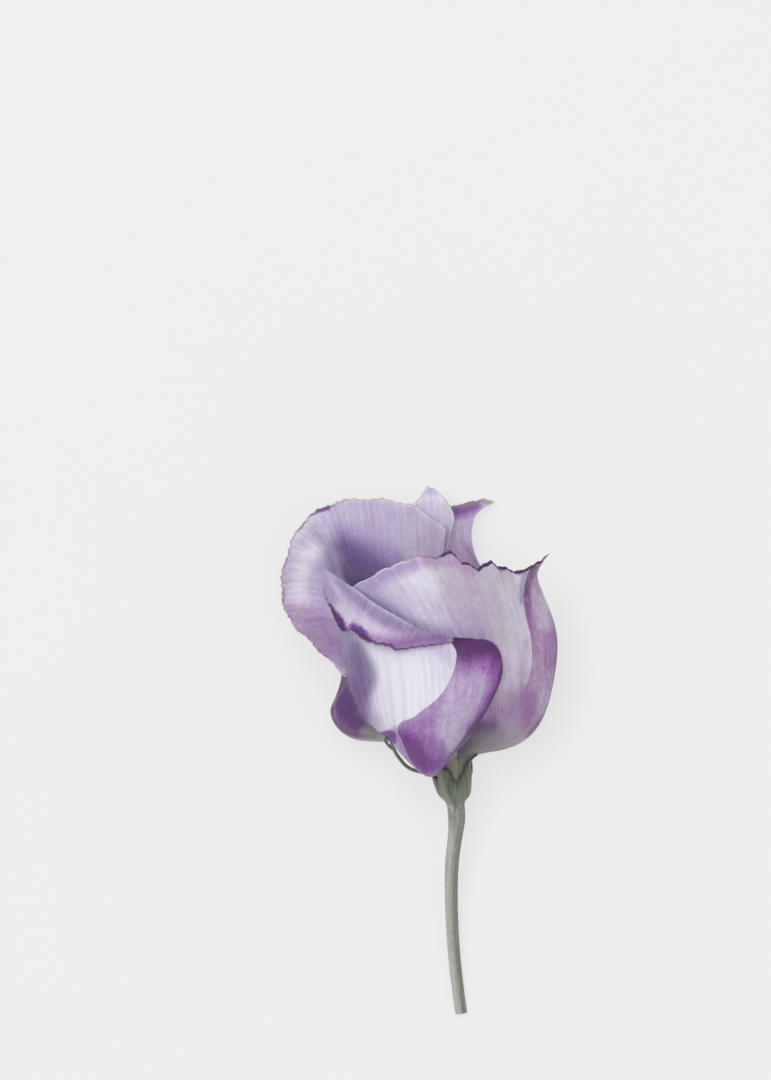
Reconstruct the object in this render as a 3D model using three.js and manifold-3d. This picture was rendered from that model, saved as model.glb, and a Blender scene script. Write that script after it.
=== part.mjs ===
import * as THREE from 'three';
import { mergeVertices } from 'three/addons/utils/BufferGeometryUtils.js';
import Module from 'manifold-3d';

// A cut lisianthus flower, lying on its back, in millimetres with +Z up.
// It is laid out with the foot of the corolla near x = 0, y = 0 and the floor at z = 0: the stem runs
// towards -Y, the bloom towards +Y, and its front petal is on top. The last lines move the origin to the
// middle of the footprint.

const PETAL_THICKNESS = 0.6;
const SEAT_GAP = 0.36;

// Middle of the footprint, in the layout's own coordinates
const FOOTPRINT_X = -8.08;
const FOOTPRINT_Y = 8.44;

// The bloom's axis: a point at the foot of the corolla and the direction in which the bloom faces
const AXIS_FOOT = new THREE.Vector3(-0.45, 0.5, 16.6);
const AXIS = new THREE.Vector3(-0.05, 0.93, 0.34).normalize();
const SIDE = new THREE.Vector3(1, 0, 0).addScaledVector(AXIS, -AXIS.x).normalize();
const FACE = new THREE.Vector3().crossVectors(SIDE, AXIS);

// The narrow claws of the petals stand in a ring at the foot and reach up to the mouth of the tube
const CLAW_RADIUS = 2.75;
const MOUTH_HEIGHT = 7.2;
const CLAW_SPREAD = 0.45;

// A petal's edge waves in the last share of its blade: out of the blade by the petal's own wave height,
// and up and down along the blade by a share of that height, a little out of step (in radians)
const WAVE_ZONE = 0.22;
const WAVE_ALONG = 0.7;
const WAVE_LAG = 0.8;

// Each petal hangs on ribs from the mouth of its claw to its rim, listed from left to right as the
// outside shows them. claw gives the azimuth of its first and last rib in degrees, 0 towards +Z and
// 90 towards +X; mouth gives the radius of the two at the mouth of the tube; waves is how many waves the
// rim has and wave their height; columns and rows set how fine the blade is.
const PETALS = {
  petal_front: {
    claw: [-45, 15], mouth: [3.8, 3.8], waves: 5, wave: 0.3, columns: 29, rows: 17,
    ribs: [
      [[-8.6, 8.2, 23.6], [-15.8, 12, 27], [-20.3, 16.5, 28.3], [-23.2, 22.5, 30], [-24.8, 30, 33],
        [-27, 40, 35.4], [-28.8, 47.5, 35.6], [-29.6, 50.3, 34.8], [-30.2, 52, 33.4]],
      [[-7.8, 5.4, 28.5], [-13.4, 9.7, 34], [-17.5, 14.5, 37], [-20.5, 22, 40], [-22, 31, 42],
        [-23.3, 38.5, 42.6], [-25.2, 45.6, 42.8], [-26.8, 42.8, 44.8], [-28.2, 39.6, 43.4]],
      [[-5.8, 4.1, 29.3], [-9.3, 5.4, 36.5], [-12.5, 12, 43], [-14, 21, 46.5], [-15.5, 30.5, 47.5],
        [-16.6, 36, 47.6], [-17.8, 40.4, 48.6], [-19.2, 37, 51], [-21.5, 32.8, 50.3]],
      [[-4.1, 3.9, 28], [-5.9, 4, 35.5], [-6.5, 10.5, 44], [-5.5, 20, 48], [-6, 28, 49],
        [-6.9, 33, 48.9], [-7.8, 36.2, 49.8], [-9, 33.8, 52], [-10.5, 30.7, 51.6]],
      [[-2.5, 5.8, 27.2], [-2.6, 6.4, 34], [-0.3, 11.5, 41.5], [2.5, 19.5, 46], [3.2, 26, 47.6],
        [2.8, 29.8, 47.8], [1.8, 32.2, 48.5], [0.6, 33.2, 49.4], [-0.6, 32.4, 50.3]],
      [[-0.6, 7.8, 26.6], [0.8, 9.6, 32.4], [4.2, 13.7, 37.8], [8, 20.5, 42.2], [9.7, 25, 43.4],
        [9.8, 28, 43.9], [9, 30.6, 44.3], [7.6, 32.2, 44.8], [5.5, 33.1, 45.6]],
    ],
  },
  petal_right: {
    claw: [23, 72], mouth: [2.85, 3.8], waves: 8, wave: 0.45, columns: 33, rows: 14,
    ribs: [
      [[1.2, 10, 24.8], [0, 15, 31.5], [-5.5, 24, 38], [-13, 34, 40.5], [-19.5, 41, 40.6],
        [-23.4, 43.6, 40]],
      [[3.8, 9, 25.3], [5, 13.5, 33], [2.8, 23, 40.4], [-1.5, 33.5, 43], [-6.2, 43, 42.8],
        [-10, 50, 42]],
      [[6.3, 8.7, 23.6], [10.4, 12.8, 30], [11.3, 22.5, 37.5], [9.2, 33, 40.5], [6.2, 42, 40.6],
        [3.5, 49, 40.2]],
      [[8.2, 9, 21], [14.5, 13.5, 25.2], [18, 23, 31.5], [17.5, 33, 34], [15.5, 41.5, 34.7],
        [13.5, 47.5, 35.5]],
      [[8.8, 9.2, 17.8], [16.4, 13.6, 18.8], [21, 24.5, 22], [21.6, 34, 24], [19, 42.5, 26],
        [18.6, 49.3, 28.5]],
      [[7.8, 9.2, 13.9], [14.8, 14, 11.2], [18.9, 25.5, 11.5], [20.3, 35, 14], [18.9, 43.5, 18],
        [20, 51, 23]],
    ],
  },
  petal_back_right: {
    claw: [83, 128], mouth: [2.85, 3.85], waves: 4, wave: 0.3, columns: 25, rows: 14,
    ribs: [
      [[5.8, 10.4, 17.6], [12.4, 16, 17.5], [16.2, 28, 17], [13, 38.5, 14.5], [6.4, 46.5, 11.5],
        [2.9, 54, 8.5], [8, 62.8, 3.6]],
      [[5.5, 10, 13.6], [11.3, 15.5, 10.5], [14.5, 28, 7.6], [11.6, 39, 7.4], [5.8, 47.5, 7.2],
        [1.5, 55, 6], [3.8, 62.5, 2]],
      [[3.8, 9.4, 10.6], [7, 15.5, 4.5], [8.3, 29, 1.2], [5.8, 40, 2], [1.4, 49, 3.6], [-1.2, 55, 3.8],
        [-0.5, 61.5, 1.4]],
      [[1.4, 9.1, 9.4], [0.8, 15.5, 2.8], [-1.2, 30, 0.55], [-3, 41, 1.2], [-4.5, 49.5, 2.5],
        [-5.5, 55, 2.8], [-6, 60.5, 1.2]],
      [[-0.9, 9, 9.2], [-5.2, 15.5, 2.3], [-11, 30, 0.35], [-13.6, 40, 1.2], [-13.6, 48.5, 2.4],
        [-13.6, 54, 2.8], [-13.8, 58.5, 1.2]],
    ],
  },
  petal_back: {
    claw: [142, 179], mouth: [2.8, 3.8], waves: 3, wave: 0.25, columns: 17, rows: 12,
    ribs: [
      [[1, 11.1, 15], [1.8, 20, 6.6], [0.3, 34, 4.6], [-1.5, 46, 7], [-1.8, 53.5, 9.5],
        [-0.3, 58.8, 11]],
      [[-0.6, 10.4, 12], [-2.5, 20, 5], [-4.5, 34, 4.2], [-5.5, 48, 7.3], [-5, 58, 9.6],
        [-5.8, 66.2, 9.2]],
      [[-2.6, 10.1, 10.6], [-6.6, 20, 4.3], [-10.5, 34, 3.9], [-11.5, 47, 6.8], [-11.5, 56, 9.4],
        [-12.5, 61, 9.6]],
    ],
  },
  petal_left: {
    claw: [190, 304], mouth: [2.8, 2.85], waves: 11, wave: 0.45, columns: 45, rows: 15,
    ribs: [
      [[-1.3, 9.8, 14.4], [-1.5, 18, 9.6], [-2.3, 30, 8.3], [-3, 42, 10.8], [-3, 49, 12.8],
        [-2.7, 53.2, 14.2], [-2.3, 56.3, 15]],
      [[-2.7, 9.9, 13.2], [-5, 18, 7.9], [-7.5, 31, 7], [-8.6, 44, 10.6], [-8.6, 52, 14],
        [-8.7, 57.5, 15.4], [-9, 61.4, 15.5]],
      [[-4.2, 10, 12.3], [-8.8, 17.5, 6.2], [-13.2, 30, 5.6], [-16, 44, 10.4], [-17.2, 52.5, 14.6],
        [-17.8, 58.5, 15.6], [-18.3, 63.2, 14.8]],
      [[-5.6, 10.1, 11.8], [-12.4, 16.8, 4.6], [-18.2, 29, 4.8], [-21.6, 43, 12], [-24, 53, 17.6],
        [-25.3, 58.2, 18], [-26.6, 62.4, 16.8]],
      [[-7, 10.2, 11.6], [-15.4, 16, 4.2], [-21.3, 27.5, 5.8], [-25, 42, 15.2], [-28.6, 52.5, 22.4],
        [-31, 55.8, 22], [-33.4, 58.2, 20]],
      [[-8.3, 10.3, 11.8], [-18, 15, 5.4], [-22.9, 25.5, 8.6], [-25.8, 38.5, 18.5], [-29.4, 48, 26.5],
        [-33.4, 50.5, 25.8], [-37, 51, 23]],
      [[-9.5, 10.3, 12.4], [-20.8, 13.2, 8.3], [-24.4, 22.5, 11.8], [-24.8, 32.5, 20.3],
        [-28.2, 42.5, 29.3], [-33.5, 44, 28.8], [-38.2, 43.5, 25.8]],
      [[-10.1, 10.2, 14], [-22.3, 11.6, 13], [-26.6, 18, 15.5], [-23.6, 25.7, 21.8],
        [-26.6, 36.5, 30.6], [-31.2, 36.8, 30.2], [-36, 36.4, 27.4]],
      [[-9.5, 10.1, 17.3], [-20.2, 11.3, 18.6], [-26.2, 16.2, 20.6], [-23.6, 23.6, 25.2],
        [-24.6, 28.7, 29.6], [-27.5, 29.8, 29.8], [-30.6, 31, 28.5]],
      [[-7.2, 10, 20], [-14.4, 13, 23], [-20, 15.8, 24.2], [-22.2, 20, 26.4], [-23, 23, 28],
        [-23.4, 24.3, 28.5], [-24.1, 25.2, 28.5]],
      [[-4.4, 10.2, 21.8], [-9.4, 14, 26], [-14.8, 17.8, 28.4], [-18, 21.6, 30.6], [-19.3, 24.3, 31.9],
        [-19.9, 25.9, 32.5], [-20.5, 27.3, 32.8]],
    ],
  },
};

// The stem's centre line from just under the calyx to the cut, with its radius
const STEM_TOP = -5;
const STEM = [
  { at: [-0.08, -6.4, 14.05], radius: 1.66 },
  { at: [-0.3, -9.5, 12.9], radius: 1.56 },
  { at: [-1, -15.5, 10.5], radius: 1.45 },
  { at: [-1.2, -22.8, 7.7], radius: 1.4 },
  { at: [-0.95, -30.6, 5.05], radius: 1.36 },
  { at: [-0.2, -39.8, 2.7], radius: 1.32 },
  { at: [1, -49, 1.28], radius: 1.28 },
];
const STEM_TOP_RADIUS = 1.8;
const STEM_STEPS = 24;
const STEM_SIDES = 12;

// Calyx: a cup of five sepals that are free above its mouth. Heights run along the axis with the radius
// there; each sepal has a keel, starts at its azimuth and goes on through the points to its tip.
const CUP_OUTSIDE = [[STEM_TOP + SEAT_GAP, 1.8], [-3.9, 2], [-3, 2.4], [-2, 3.05], [-0.8, 3.6], [0.9, 4],
  [2.7, 4.35]];
const CUP_INSIDE = [[-SEAT_GAP, 3.35], [0.9, 3.55], [2.7, 3.8]];
const SEPAL_COLUMNS = 4;
const SEPAL_ANGLE = 72;
const SEPAL_THICKNESS = 0.6;
const SEPAL_TIP_WIDTH = 0.7;
const SEPAL_TAPER = 8;
const SEPAL_TAPER_POWER = 0.55;
const SEPAL_KEEL = 0.4;
const SEPAL_LIFT = 1.7;
const SEPAL_SPLAY = 0.75;
const SEPAL_STEP = 1.2;
const SEPALS = [
  {
    azimuth: -30,
    tip: [[-6.3, 3.9, 21.8], [-8.5, 4.1, 20.9], [-10, 4.6, 20.7], [-11.8, 6, 21.3], [-13, 7.3, 21.9],
      [-13.9, 9.2, 22.3], [-14.4, 10.6, 22.6], [-15, 11.4, 22.8]],
  },
  { azimuth: 42, tip: [[4, 5.3, 22.1], [4.8, 6.7, 22.2]] },
  { azimuth: 114, tip: [[4.9, 6.6, 11.6], [5.5, 8.8, 7.8], [6.2, 11, 4]] },
  { azimuth: 186, tip: [[-1, 6.6, 8.7], [-0.9, 8.8, 5.4], [-0.8, 10.8, 2.6]] },
  { azimuth: 258, tip: [[-6.8, 6.4, 12.4], [-8.5, 8.6, 8.8], [-10.6, 10.6, 5.2]] },
];

// Pistil: ovary and style as height and radius, and a stigma of two lobes, each through points of distance,
// height and radius
const PISTIL = [[0, 0.85], [1, 1.02], [3, 1.12], [6, 1.1], [8.5, 0.85], [9.6, 0.5], [12.6, 0.45],
  [13.4, 0.6]];
const PISTIL_SIDES = 18;
const STIGMA_LOBE = [[0, 13.1, 0.75], [0.5, 13.9, 0.75], [1.3, 14.6, 0.75], [2.2, 14.7, 0.45]];
const STIGMA_SIDES = 10;

// Stamens: a ring round the foot of the ovary with five filaments, each with an anther
const STAMEN_COUNT = 5;
const STAMEN_RING = [[0, 1.45], [0, 1.95], [0.9, 1.95], [0.9, 1.45]];
const STAMEN_RING_SIDES = 20;
const FILAMENT = [[0.5, 1.7], [2.5, 1.76], [5.5, 1.76], [8.5, 2.05], [11, 2.9]];
const FILAMENT_RADIUS = 0.32;
const FILAMENT_SIDES = 6;
const ANTHER_HEIGHT = 11.4;
const ANTHER_DISTANCE = 3;
const ANTHER_SIZE = [0.75, 0.6, 1.6];
const ANTHER_SIDES = 8;
const ANTHER_RINGS = 6;
const FIRST_STAMEN = 48;

const MATERIALS = {
  petal_front: new THREE.MeshStandardMaterial({ color: 0xdcd3e6, roughness: 0.62, metalness: 0 }),
  petal_right: new THREE.MeshStandardMaterial({ color: 0xc6bbd3, roughness: 0.62, metalness: 0 }),
  petal_back_right: new THREE.MeshStandardMaterial({ color: 0xb4a3c8, roughness: 0.62, metalness: 0 }),
  petal_back: new THREE.MeshStandardMaterial({ color: 0xcabfdb, roughness: 0.62, metalness: 0 }),
  petal_left: new THREE.MeshStandardMaterial({ color: 0xcfc0da, roughness: 0.62, metalness: 0 }),
  green: new THREE.MeshStandardMaterial({ color: 0x8f9688, roughness: 0.6, metalness: 0 }),
  calyx: new THREE.MeshStandardMaterial({ color: 0x6f7766, roughness: 0.65, metalness: 0 }),
  pistil: new THREE.MeshStandardMaterial({ color: 0x9fa86a, roughness: 0.5, metalness: 0 }),
  stamens: new THREE.MeshStandardMaterial({ color: 0xd8c15a, roughness: 0.7, metalness: 0 }),
};

// Points closer than this are one corner when a mesh is made ready for a join
const MERGE_DISTANCE = 1e-4;

const wasm = await Module();
wasm.setup();

// A place at a height along the axis, a distance from it and an azimuth round it
function aroundAxis(height, distance, azimuth) {
  const angle = THREE.MathUtils.degToRad(azimuth);
  return AXIS_FOOT.clone()
    .addScaledVector(AXIS, height)
    .addScaledVector(SIDE, distance * Math.sin(angle))
    .addScaledVector(FACE, distance * Math.cos(angle));
}

// Natural cubic spline through rows of numbers at the given knots
function spline(knots, rows) {
  const last = knots.length - 1;
  const width = rows[0].length;
  const bend = rows.map(() => new Array(width).fill(0));
  for (let axis = 0; axis < width; axis += 1) {
    const diagonal = [];
    const target = [];
    for (let i = 1; i < last; i += 1) {
      const before = knots[i] - knots[i - 1];
      const after = knots[i + 1] - knots[i];
      const slopeAfter = (rows[i + 1][axis] - rows[i][axis]) / after;
      const slopeBefore = (rows[i][axis] - rows[i - 1][axis]) / before;
      let pivot = 2 * (before + after);
      let value = 6 * (slopeAfter - slopeBefore);
      if (i > 1) {
        const factor = before / diagonal[i - 1];
        pivot -= factor * before;
        value -= factor * target[i - 1];
      }
      diagonal[i] = pivot;
      target[i] = value;
    }
    for (let i = last - 1; i > 0; i -= 1) {
      bend[i][axis] = (target[i] - (knots[i + 1] - knots[i]) * bend[i + 1][axis]) / diagonal[i];
    }
  }
  return (t) => {
    let i = 0;
    while (i < last - 1 && t > knots[i + 1]) i += 1;
    const span = knots[i + 1] - knots[i];
    const a = (knots[i + 1] - t) / span;
    const b = (t - knots[i]) / span;
    const soft = span * span / 6;
    return rows[i].map((start, axis) => a * start + b * rows[i + 1][axis]
      + soft * ((a * a * a - a) * bend[i][axis] + (b * b * b - b) * bend[i + 1][axis]));
  };
}

// Knots from 0 to 1 in step with the mean distance between neighbouring lines of a net of points
function meanKnots(lines) {
  const knots = [0];
  for (let i = 1; i < lines.length; i += 1) {
    const total = lines[i].reduce((sum, point, j) => sum + Math.hypot(
      point[0] - lines[i - 1][j][0], point[1] - lines[i - 1][j][1], point[2] - lines[i - 1][j][2]), 0);
    knots.push(knots[i - 1] + total / lines[i].length);
  }
  return knots.map((knot) => knot / knots.at(-1));
}

// The smooth middle surface of a petal: across runs from its first rib to its last, along from claw to rim
function petalSurface({ claw, mouth, ribs }) {
  const net = ribs.map((rib, i) => {
    const share = i / (ribs.length - 1);
    const azimuth = THREE.MathUtils.lerp(claw[0], claw[1], share);
    const radius = THREE.MathUtils.lerp(mouth[0], mouth[1], share);
    const middle = THREE.MathUtils.lerp(CLAW_RADIUS, radius, CLAW_SPREAD);
    return [
      aroundAxis(0, CLAW_RADIUS, azimuth).toArray(),
      aroundAxis(MOUTH_HEIGHT / 2, middle, azimuth).toArray(),
      aroundAxis(MOUTH_HEIGHT, radius, azimuth).toArray(),
      ...rib,
    ];
  });
  const rows = net[0].map((_, j) => net.map((line) => line[j]));
  const alongKnots = meanKnots(rows);
  const acrossCurves = rows.map((row) => spline(meanKnots(net), row));
  return (across, along) => {
    const line = acrossCurves.map((curve) => curve(across));
    return new THREE.Vector3(...spline(alongKnots, line)(along));
  };
}

// A petal is its middle surface, waved at the rim and thickened to both sides
function petal(name) {
  const { waves, wave, columns, rows } = PETALS[name];
  const surface = petalSurface(PETALS[name]);
  const middle = [];
  for (let i = 0; i < columns; i += 1) {
    const column = [];
    for (let j = 0; j < rows; j += 1) column.push(surface(i / (columns - 1), j / (rows - 1)));
    middle.push(column);
  }
  const slope = (i, j, di, dj) => {
    const to = middle[Math.min(i + di, columns - 1)][Math.min(j + dj, rows - 1)];
    const from = middle[Math.max(i - di, 0)][Math.max(j - dj, 0)];
    return to.clone().sub(from).normalize();
  };
  const outside = [];
  const inside = [];
  for (let i = 0; i < columns; i += 1) {
    for (let j = 0; j < rows; j += 1) {
      const up = slope(i, j, 0, 1);
      const normal = slope(i, j, 1, 0).cross(up).normalize();
      const rim = THREE.MathUtils.smoothstep(j / (rows - 1), 1 - WAVE_ZONE, 1);
      const phase = 2 * Math.PI * waves * i / (columns - 1);
      const place = middle[i][j].clone()
        .addScaledVector(up, rim * wave * WAVE_ALONG * Math.sin(phase + WAVE_LAG))
        .addScaledVector(normal, rim * wave * Math.sin(phase));
      outside.push(place.clone().addScaledVector(normal, PETAL_THICKNESS / 2));
      inside.push(place.clone().addScaledVector(normal, -PETAL_THICKNESS / 2));
    }
  }
  const outer = ([i, j]) => i * rows + j;
  const inner = ([i, j]) => outside.length + i * rows + j;
  const indices = [];
  for (let i = 0; i < columns - 1; i += 1) {
    for (let j = 0; j < rows - 1; j += 1) {
      const quad = [[i, j], [i + 1, j], [i + 1, j + 1], [i, j + 1]];
      const [a, b, c, d] = quad.map(outer);
      const [e, f, g, h] = quad.map(inner);
      indices.push(a, b, c, a, c, d, e, g, f, e, h, g);
    }
  }
  const border = [];
  for (let i = 0; i < columns - 1; i += 1) border.push([i, 0]);
  for (let j = 0; j < rows - 1; j += 1) border.push([columns - 1, j]);
  for (let i = columns - 1; i > 0; i -= 1) border.push([i, rows - 1]);
  for (let j = rows - 1; j > 0; j -= 1) border.push([0, j]);
  border.forEach((place, k) => {
    const next = border[(k + 1) % border.length];
    indices.push(outer(place), inner(next), outer(next), outer(place), inner(place), inner(next));
  });
  return geometry([...outside, ...inside].flatMap((point) => point.toArray()), indices);
}

function geometry(vertices, indices) {
  const shape = new THREE.BufferGeometry();
  shape.setAttribute('position', new THREE.BufferAttribute(new Float32Array(vertices), 3));
  shape.setIndex(indices);
  return shape;
}

// A closed body through rings of points with the same count, each running clockwise as seen from its start
function loft(rings) {
  const sides = rings[0].length;
  const indices = [];
  for (let i = 0; i < rings.length - 1; i += 1) {
    for (let k = 0; k < sides; k += 1) {
      const next = (k + 1) % sides;
      const [a, b] = [i * sides + k, i * sides + next];
      const [c, d] = [b + sides, a + sides];
      indices.push(a, b, c, a, c, d);
    }
  }
  const lastRing = (rings.length - 1) * sides;
  for (let k = 1; k < sides - 1; k += 1) {
    indices.push(0, k + 1, k);
    indices.push(lastRing, lastRing + k, lastRing + k + 1);
  }
  return geometry(rings.flat().flatMap((point) => point.toArray()), indices);
}

// Round tube with a radius for each point of its centre line
function tube(centres, radii, sides) {
  const right = new THREE.Vector3(1, 0, 0);
  return loft(centres.map((centre, i) => {
    const ahead = centres[Math.min(i + 1, centres.length - 1)];
    const behind = centres[Math.max(i - 1, 0)];
    const along = ahead.clone().sub(behind).normalize();
    right.addScaledVector(along, -right.dot(along)).normalize();
    const up = new THREE.Vector3().crossVectors(along, right);
    const ring = [];
    for (let k = 0; k < sides; k += 1) {
      const angle = 2 * Math.PI * k / sides;
      ring.push(centre.clone()
        .addScaledVector(right, radii[i] * Math.cos(angle))
        .addScaledVector(up, radii[i] * Math.sin(angle)));
    }
    return ring;
  }));
}

function toManifold(shape) {
  const bare = shape.clone();
  bare.deleteAttribute('normal');
  bare.deleteAttribute('uv');
  const merged = mergeVertices(bare, MERGE_DISTANCE);
  return new wasm.Manifold(new wasm.Mesh({
    numProp: 3,
    vertProperties: new Float32Array(merged.attributes.position.array),
    triVerts: new Uint32Array(merged.index.array),
  }));
}

function join(shapes) {
  const solid = shapes.map(toManifold).reduce((sum, next) => sum.add(next));
  const mesh = solid.getMesh();
  return geometry(mesh.vertProperties, Array.from(mesh.triVerts));
}

// A body turned round the bloom's axis, from heights and radii
function turned(profile, sides) {
  const outline = profile.map(([height, radius]) => new THREE.Vector2(radius, height));
  const shape = new THREE.LatheGeometry(outline, sides);
  shape.applyMatrix4(new THREE.Matrix4().makeBasis(SIDE, AXIS, FACE).setPosition(AXIS_FOOT));
  return shape;
}

function stem() {
  const places = [aroundAxis(STEM_TOP, 0, 0).toArray(), ...STEM.map(({ at }) => at)];
  const knots = meanKnots(places.map((place) => [place]));
  const centreLine = spline(knots, places);
  const girth = spline(knots, [[STEM_TOP_RADIUS], ...STEM.map(({ radius }) => [radius])]);
  const centres = [];
  const radii = [];
  for (let i = 0; i <= STEM_STEPS; i += 1) {
    centres.push(new THREE.Vector3(...centreLine(i / STEM_STEPS)));
    radii.push(girth(i / STEM_STEPS)[0]);
  }
  return tube(centres, radii, STEM_SIDES);
}

// Rows across the free part of a sepal, outside and inside, from just above the cup to the tip
function sepalRows({ azimuth, tip }) {
  const [mouthHeight, mouthRadius] = CUP_OUTSIDE.at(-1);
  const start = aroundAxis(mouthHeight, mouthRadius + SEPAL_KEEL, azimuth);
  const lift = aroundAxis(mouthHeight + SEPAL_LIFT, mouthRadius + SEPAL_KEEL + SEPAL_SPLAY, azimuth);
  const blade = tip.map((point) => new THREE.Vector3(...point));
  const curve = new THREE.CatmullRomCurve3([start, lift, ...blade]);
  const length = curve.getLength();
  const width = 2 * mouthRadius * Math.sin(THREE.MathUtils.degToRad(SEPAL_ANGLE / 2));
  const steps = Math.round(length / SEPAL_STEP);
  const rows = [];
  for (let i = 1; i <= steps; i += 1) {
    const centre = curve.getPointAt(i / steps);
    const along = curve.getTangentAt(i / steps);
    const foot = aroundAxis(centre.clone().sub(AXIS_FOOT).dot(AXIS), 0, 0);
    const outward = centre.clone().sub(foot);
    outward.addScaledVector(along, -outward.dot(along)).normalize();
    const across = new THREE.Vector3().crossVectors(along, outward);
    const taper = Math.min(1, i / steps * length / SEPAL_TAPER);
    const half = THREE.MathUtils.lerp(width, SEPAL_TIP_WIDTH, taper ** SEPAL_TAPER_POWER) / 2;
    const outer = [];
    const inner = [];
    for (let k = 0; k <= SEPAL_COLUMNS; k += 1) {
      const side = 2 * k / SEPAL_COLUMNS - 1;
      const drop = (SEPAL_KEEL + half * half / (2 * mouthRadius)) * side * side * Math.min(1, half);
      const place = centre.clone().addScaledVector(across, half * side).addScaledVector(outward, -drop);
      outer.push(place);
      inner.push(place.clone().addScaledVector(outward, -SEPAL_THICKNESS));
    }
    rows.push({ outer, inner });
  }
  return rows;
}

// The calyx is one skin: up the outside of the cup, over its rim and round each sepal, and down the inside
function calyx() {
  const columns = SEPALS.length * SEPAL_COLUMNS;
  const points = [];
  const indices = [];
  const push = (point) => points.push(point) - 1;
  const ring = ([height, radius], keel) => {
    const numbers = [];
    for (let k = 0; k < columns; k += 1) {
      const side = 2 * (k % SEPAL_COLUMNS) / SEPAL_COLUMNS - 1;
      const azimuth = SEPALS[0].azimuth + SEPAL_ANGLE * (k / SEPAL_COLUMNS - 0.5);
      numbers.push(push(aroundAxis(height, radius + keel * (1 - Math.abs(side)), azimuth)));
    }
    return numbers;
  };
  const quad = (a, b, c, d) => indices.push(a, b, c, a, c, d);
  const wall = (lower, upper, flip) => lower.forEach((_, k) => {
    const next = (k + 1) % columns;
    if (flip) quad(lower[next], lower[k], upper[k], upper[next]);
    else quad(lower[k], lower[next], upper[next], upper[k]);
  });
  const outside = CUP_OUTSIDE.map((level, i) => ring(level, SEPAL_KEEL * i / (CUP_OUTSIDE.length - 1)));
  const inside = CUP_INSIDE.map((level) => ring(level, 0));
  for (let i = 1; i < outside.length; i += 1) wall(outside[i - 1], outside[i], false);
  for (let i = 1; i < inside.length; i += 1) wall(inside[i - 1], inside[i], true);
  const footCentre = push(aroundAxis(CUP_OUTSIDE[0][0], 0, 0));
  const floorCentre = push(aroundAxis(CUP_INSIDE[0][0], 0, 0));
  for (let k = 0; k < columns; k += 1) {
    const next = (k + 1) % columns;
    indices.push(footCentre, outside[0][next], outside[0][k]);
    indices.push(floorCentre, inside[0][k], inside[0][next]);
  }
  SEPALS.forEach((shape, number) => {
    const mouth = (rings) => Array.from({ length: SEPAL_COLUMNS + 1 },
      (_, k) => rings.at(-1)[(number * SEPAL_COLUMNS + k) % columns]);
    let before = { outer: mouth(outside), inner: mouth(inside) };
    for (const row of sepalRows(shape)) {
      const after = { outer: row.outer.map(push), inner: row.inner.map(push) };
      for (let k = 0; k < SEPAL_COLUMNS; k += 1) {
        quad(before.outer[k], before.outer[k + 1], after.outer[k + 1], after.outer[k]);
        quad(before.inner[k + 1], before.inner[k], after.inner[k], after.inner[k + 1]);
      }
      quad(before.inner[0], before.outer[0], after.outer[0], after.inner[0]);
      const k = SEPAL_COLUMNS;
      quad(before.outer[k], before.inner[k], after.inner[k], after.outer[k]);
      before = after;
    }
    for (let k = 0; k < SEPAL_COLUMNS; k += 1) {
      quad(before.outer[k], before.outer[k + 1], before.inner[k + 1], before.inner[k]);
    }
  });
  return geometry(points.flatMap((point) => point.toArray()), indices);
}

function pistil() {
  const body = turned([[PISTIL[0][0], 0], ...PISTIL, [PISTIL.at(-1)[0], 0]], PISTIL_SIDES);
  const lobes = [0, 180].map((azimuth) => {
    const centres = STIGMA_LOBE.map(([distance, height]) => aroundAxis(height, distance, azimuth));
    return tube(centres, STIGMA_LOBE.map(([, , radius]) => radius), STIGMA_SIDES);
  });
  return join([body, ...lobes]);
}

function stamens() {
  const shapes = [turned([...STAMEN_RING, STAMEN_RING[0]], STAMEN_RING_SIDES)];
  for (let i = 0; i < STAMEN_COUNT; i += 1) {
    const azimuth = FIRST_STAMEN + 360 * i / STAMEN_COUNT;
    const centres = FILAMENT.map(([height, distance]) => aroundAxis(height, distance, azimuth));
    shapes.push(tube(centres, FILAMENT.map(() => FILAMENT_RADIUS), FILAMENT_SIDES));
    const anther = new THREE.SphereGeometry(1, ANTHER_SIDES, ANTHER_RINGS);
    anther.scale(...ANTHER_SIZE);
    const outward = aroundAxis(0, 1, azimuth).sub(AXIS_FOOT);
    const across = new THREE.Vector3().crossVectors(AXIS, outward);
    anther.applyMatrix4(new THREE.Matrix4().makeBasis(outward, across, AXIS)
      .setPosition(aroundAxis(ANTHER_HEIGHT, ANTHER_DISTANCE, azimuth)));
    shapes.push(anther);
  }
  return join(shapes);
}

const flower = new THREE.Group();

function add(name, shape, material) {
  const mesh = new THREE.Mesh(shape, material);
  mesh.name = name;
  mesh.position.set(-FOOTPRINT_X, -FOOTPRINT_Y, 0);
  flower.add(mesh);
}

add('stem', stem(), MATERIALS.green);
add('calyx', calyx(), MATERIALS.calyx);
for (const name of Object.keys(PETALS)) add(name, petal(name), MATERIALS[name]);
add('pistil', pistil(), MATERIALS.pistil);
add('stamens', stamens(), MATERIALS.stamens);

export default flower;
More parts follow.
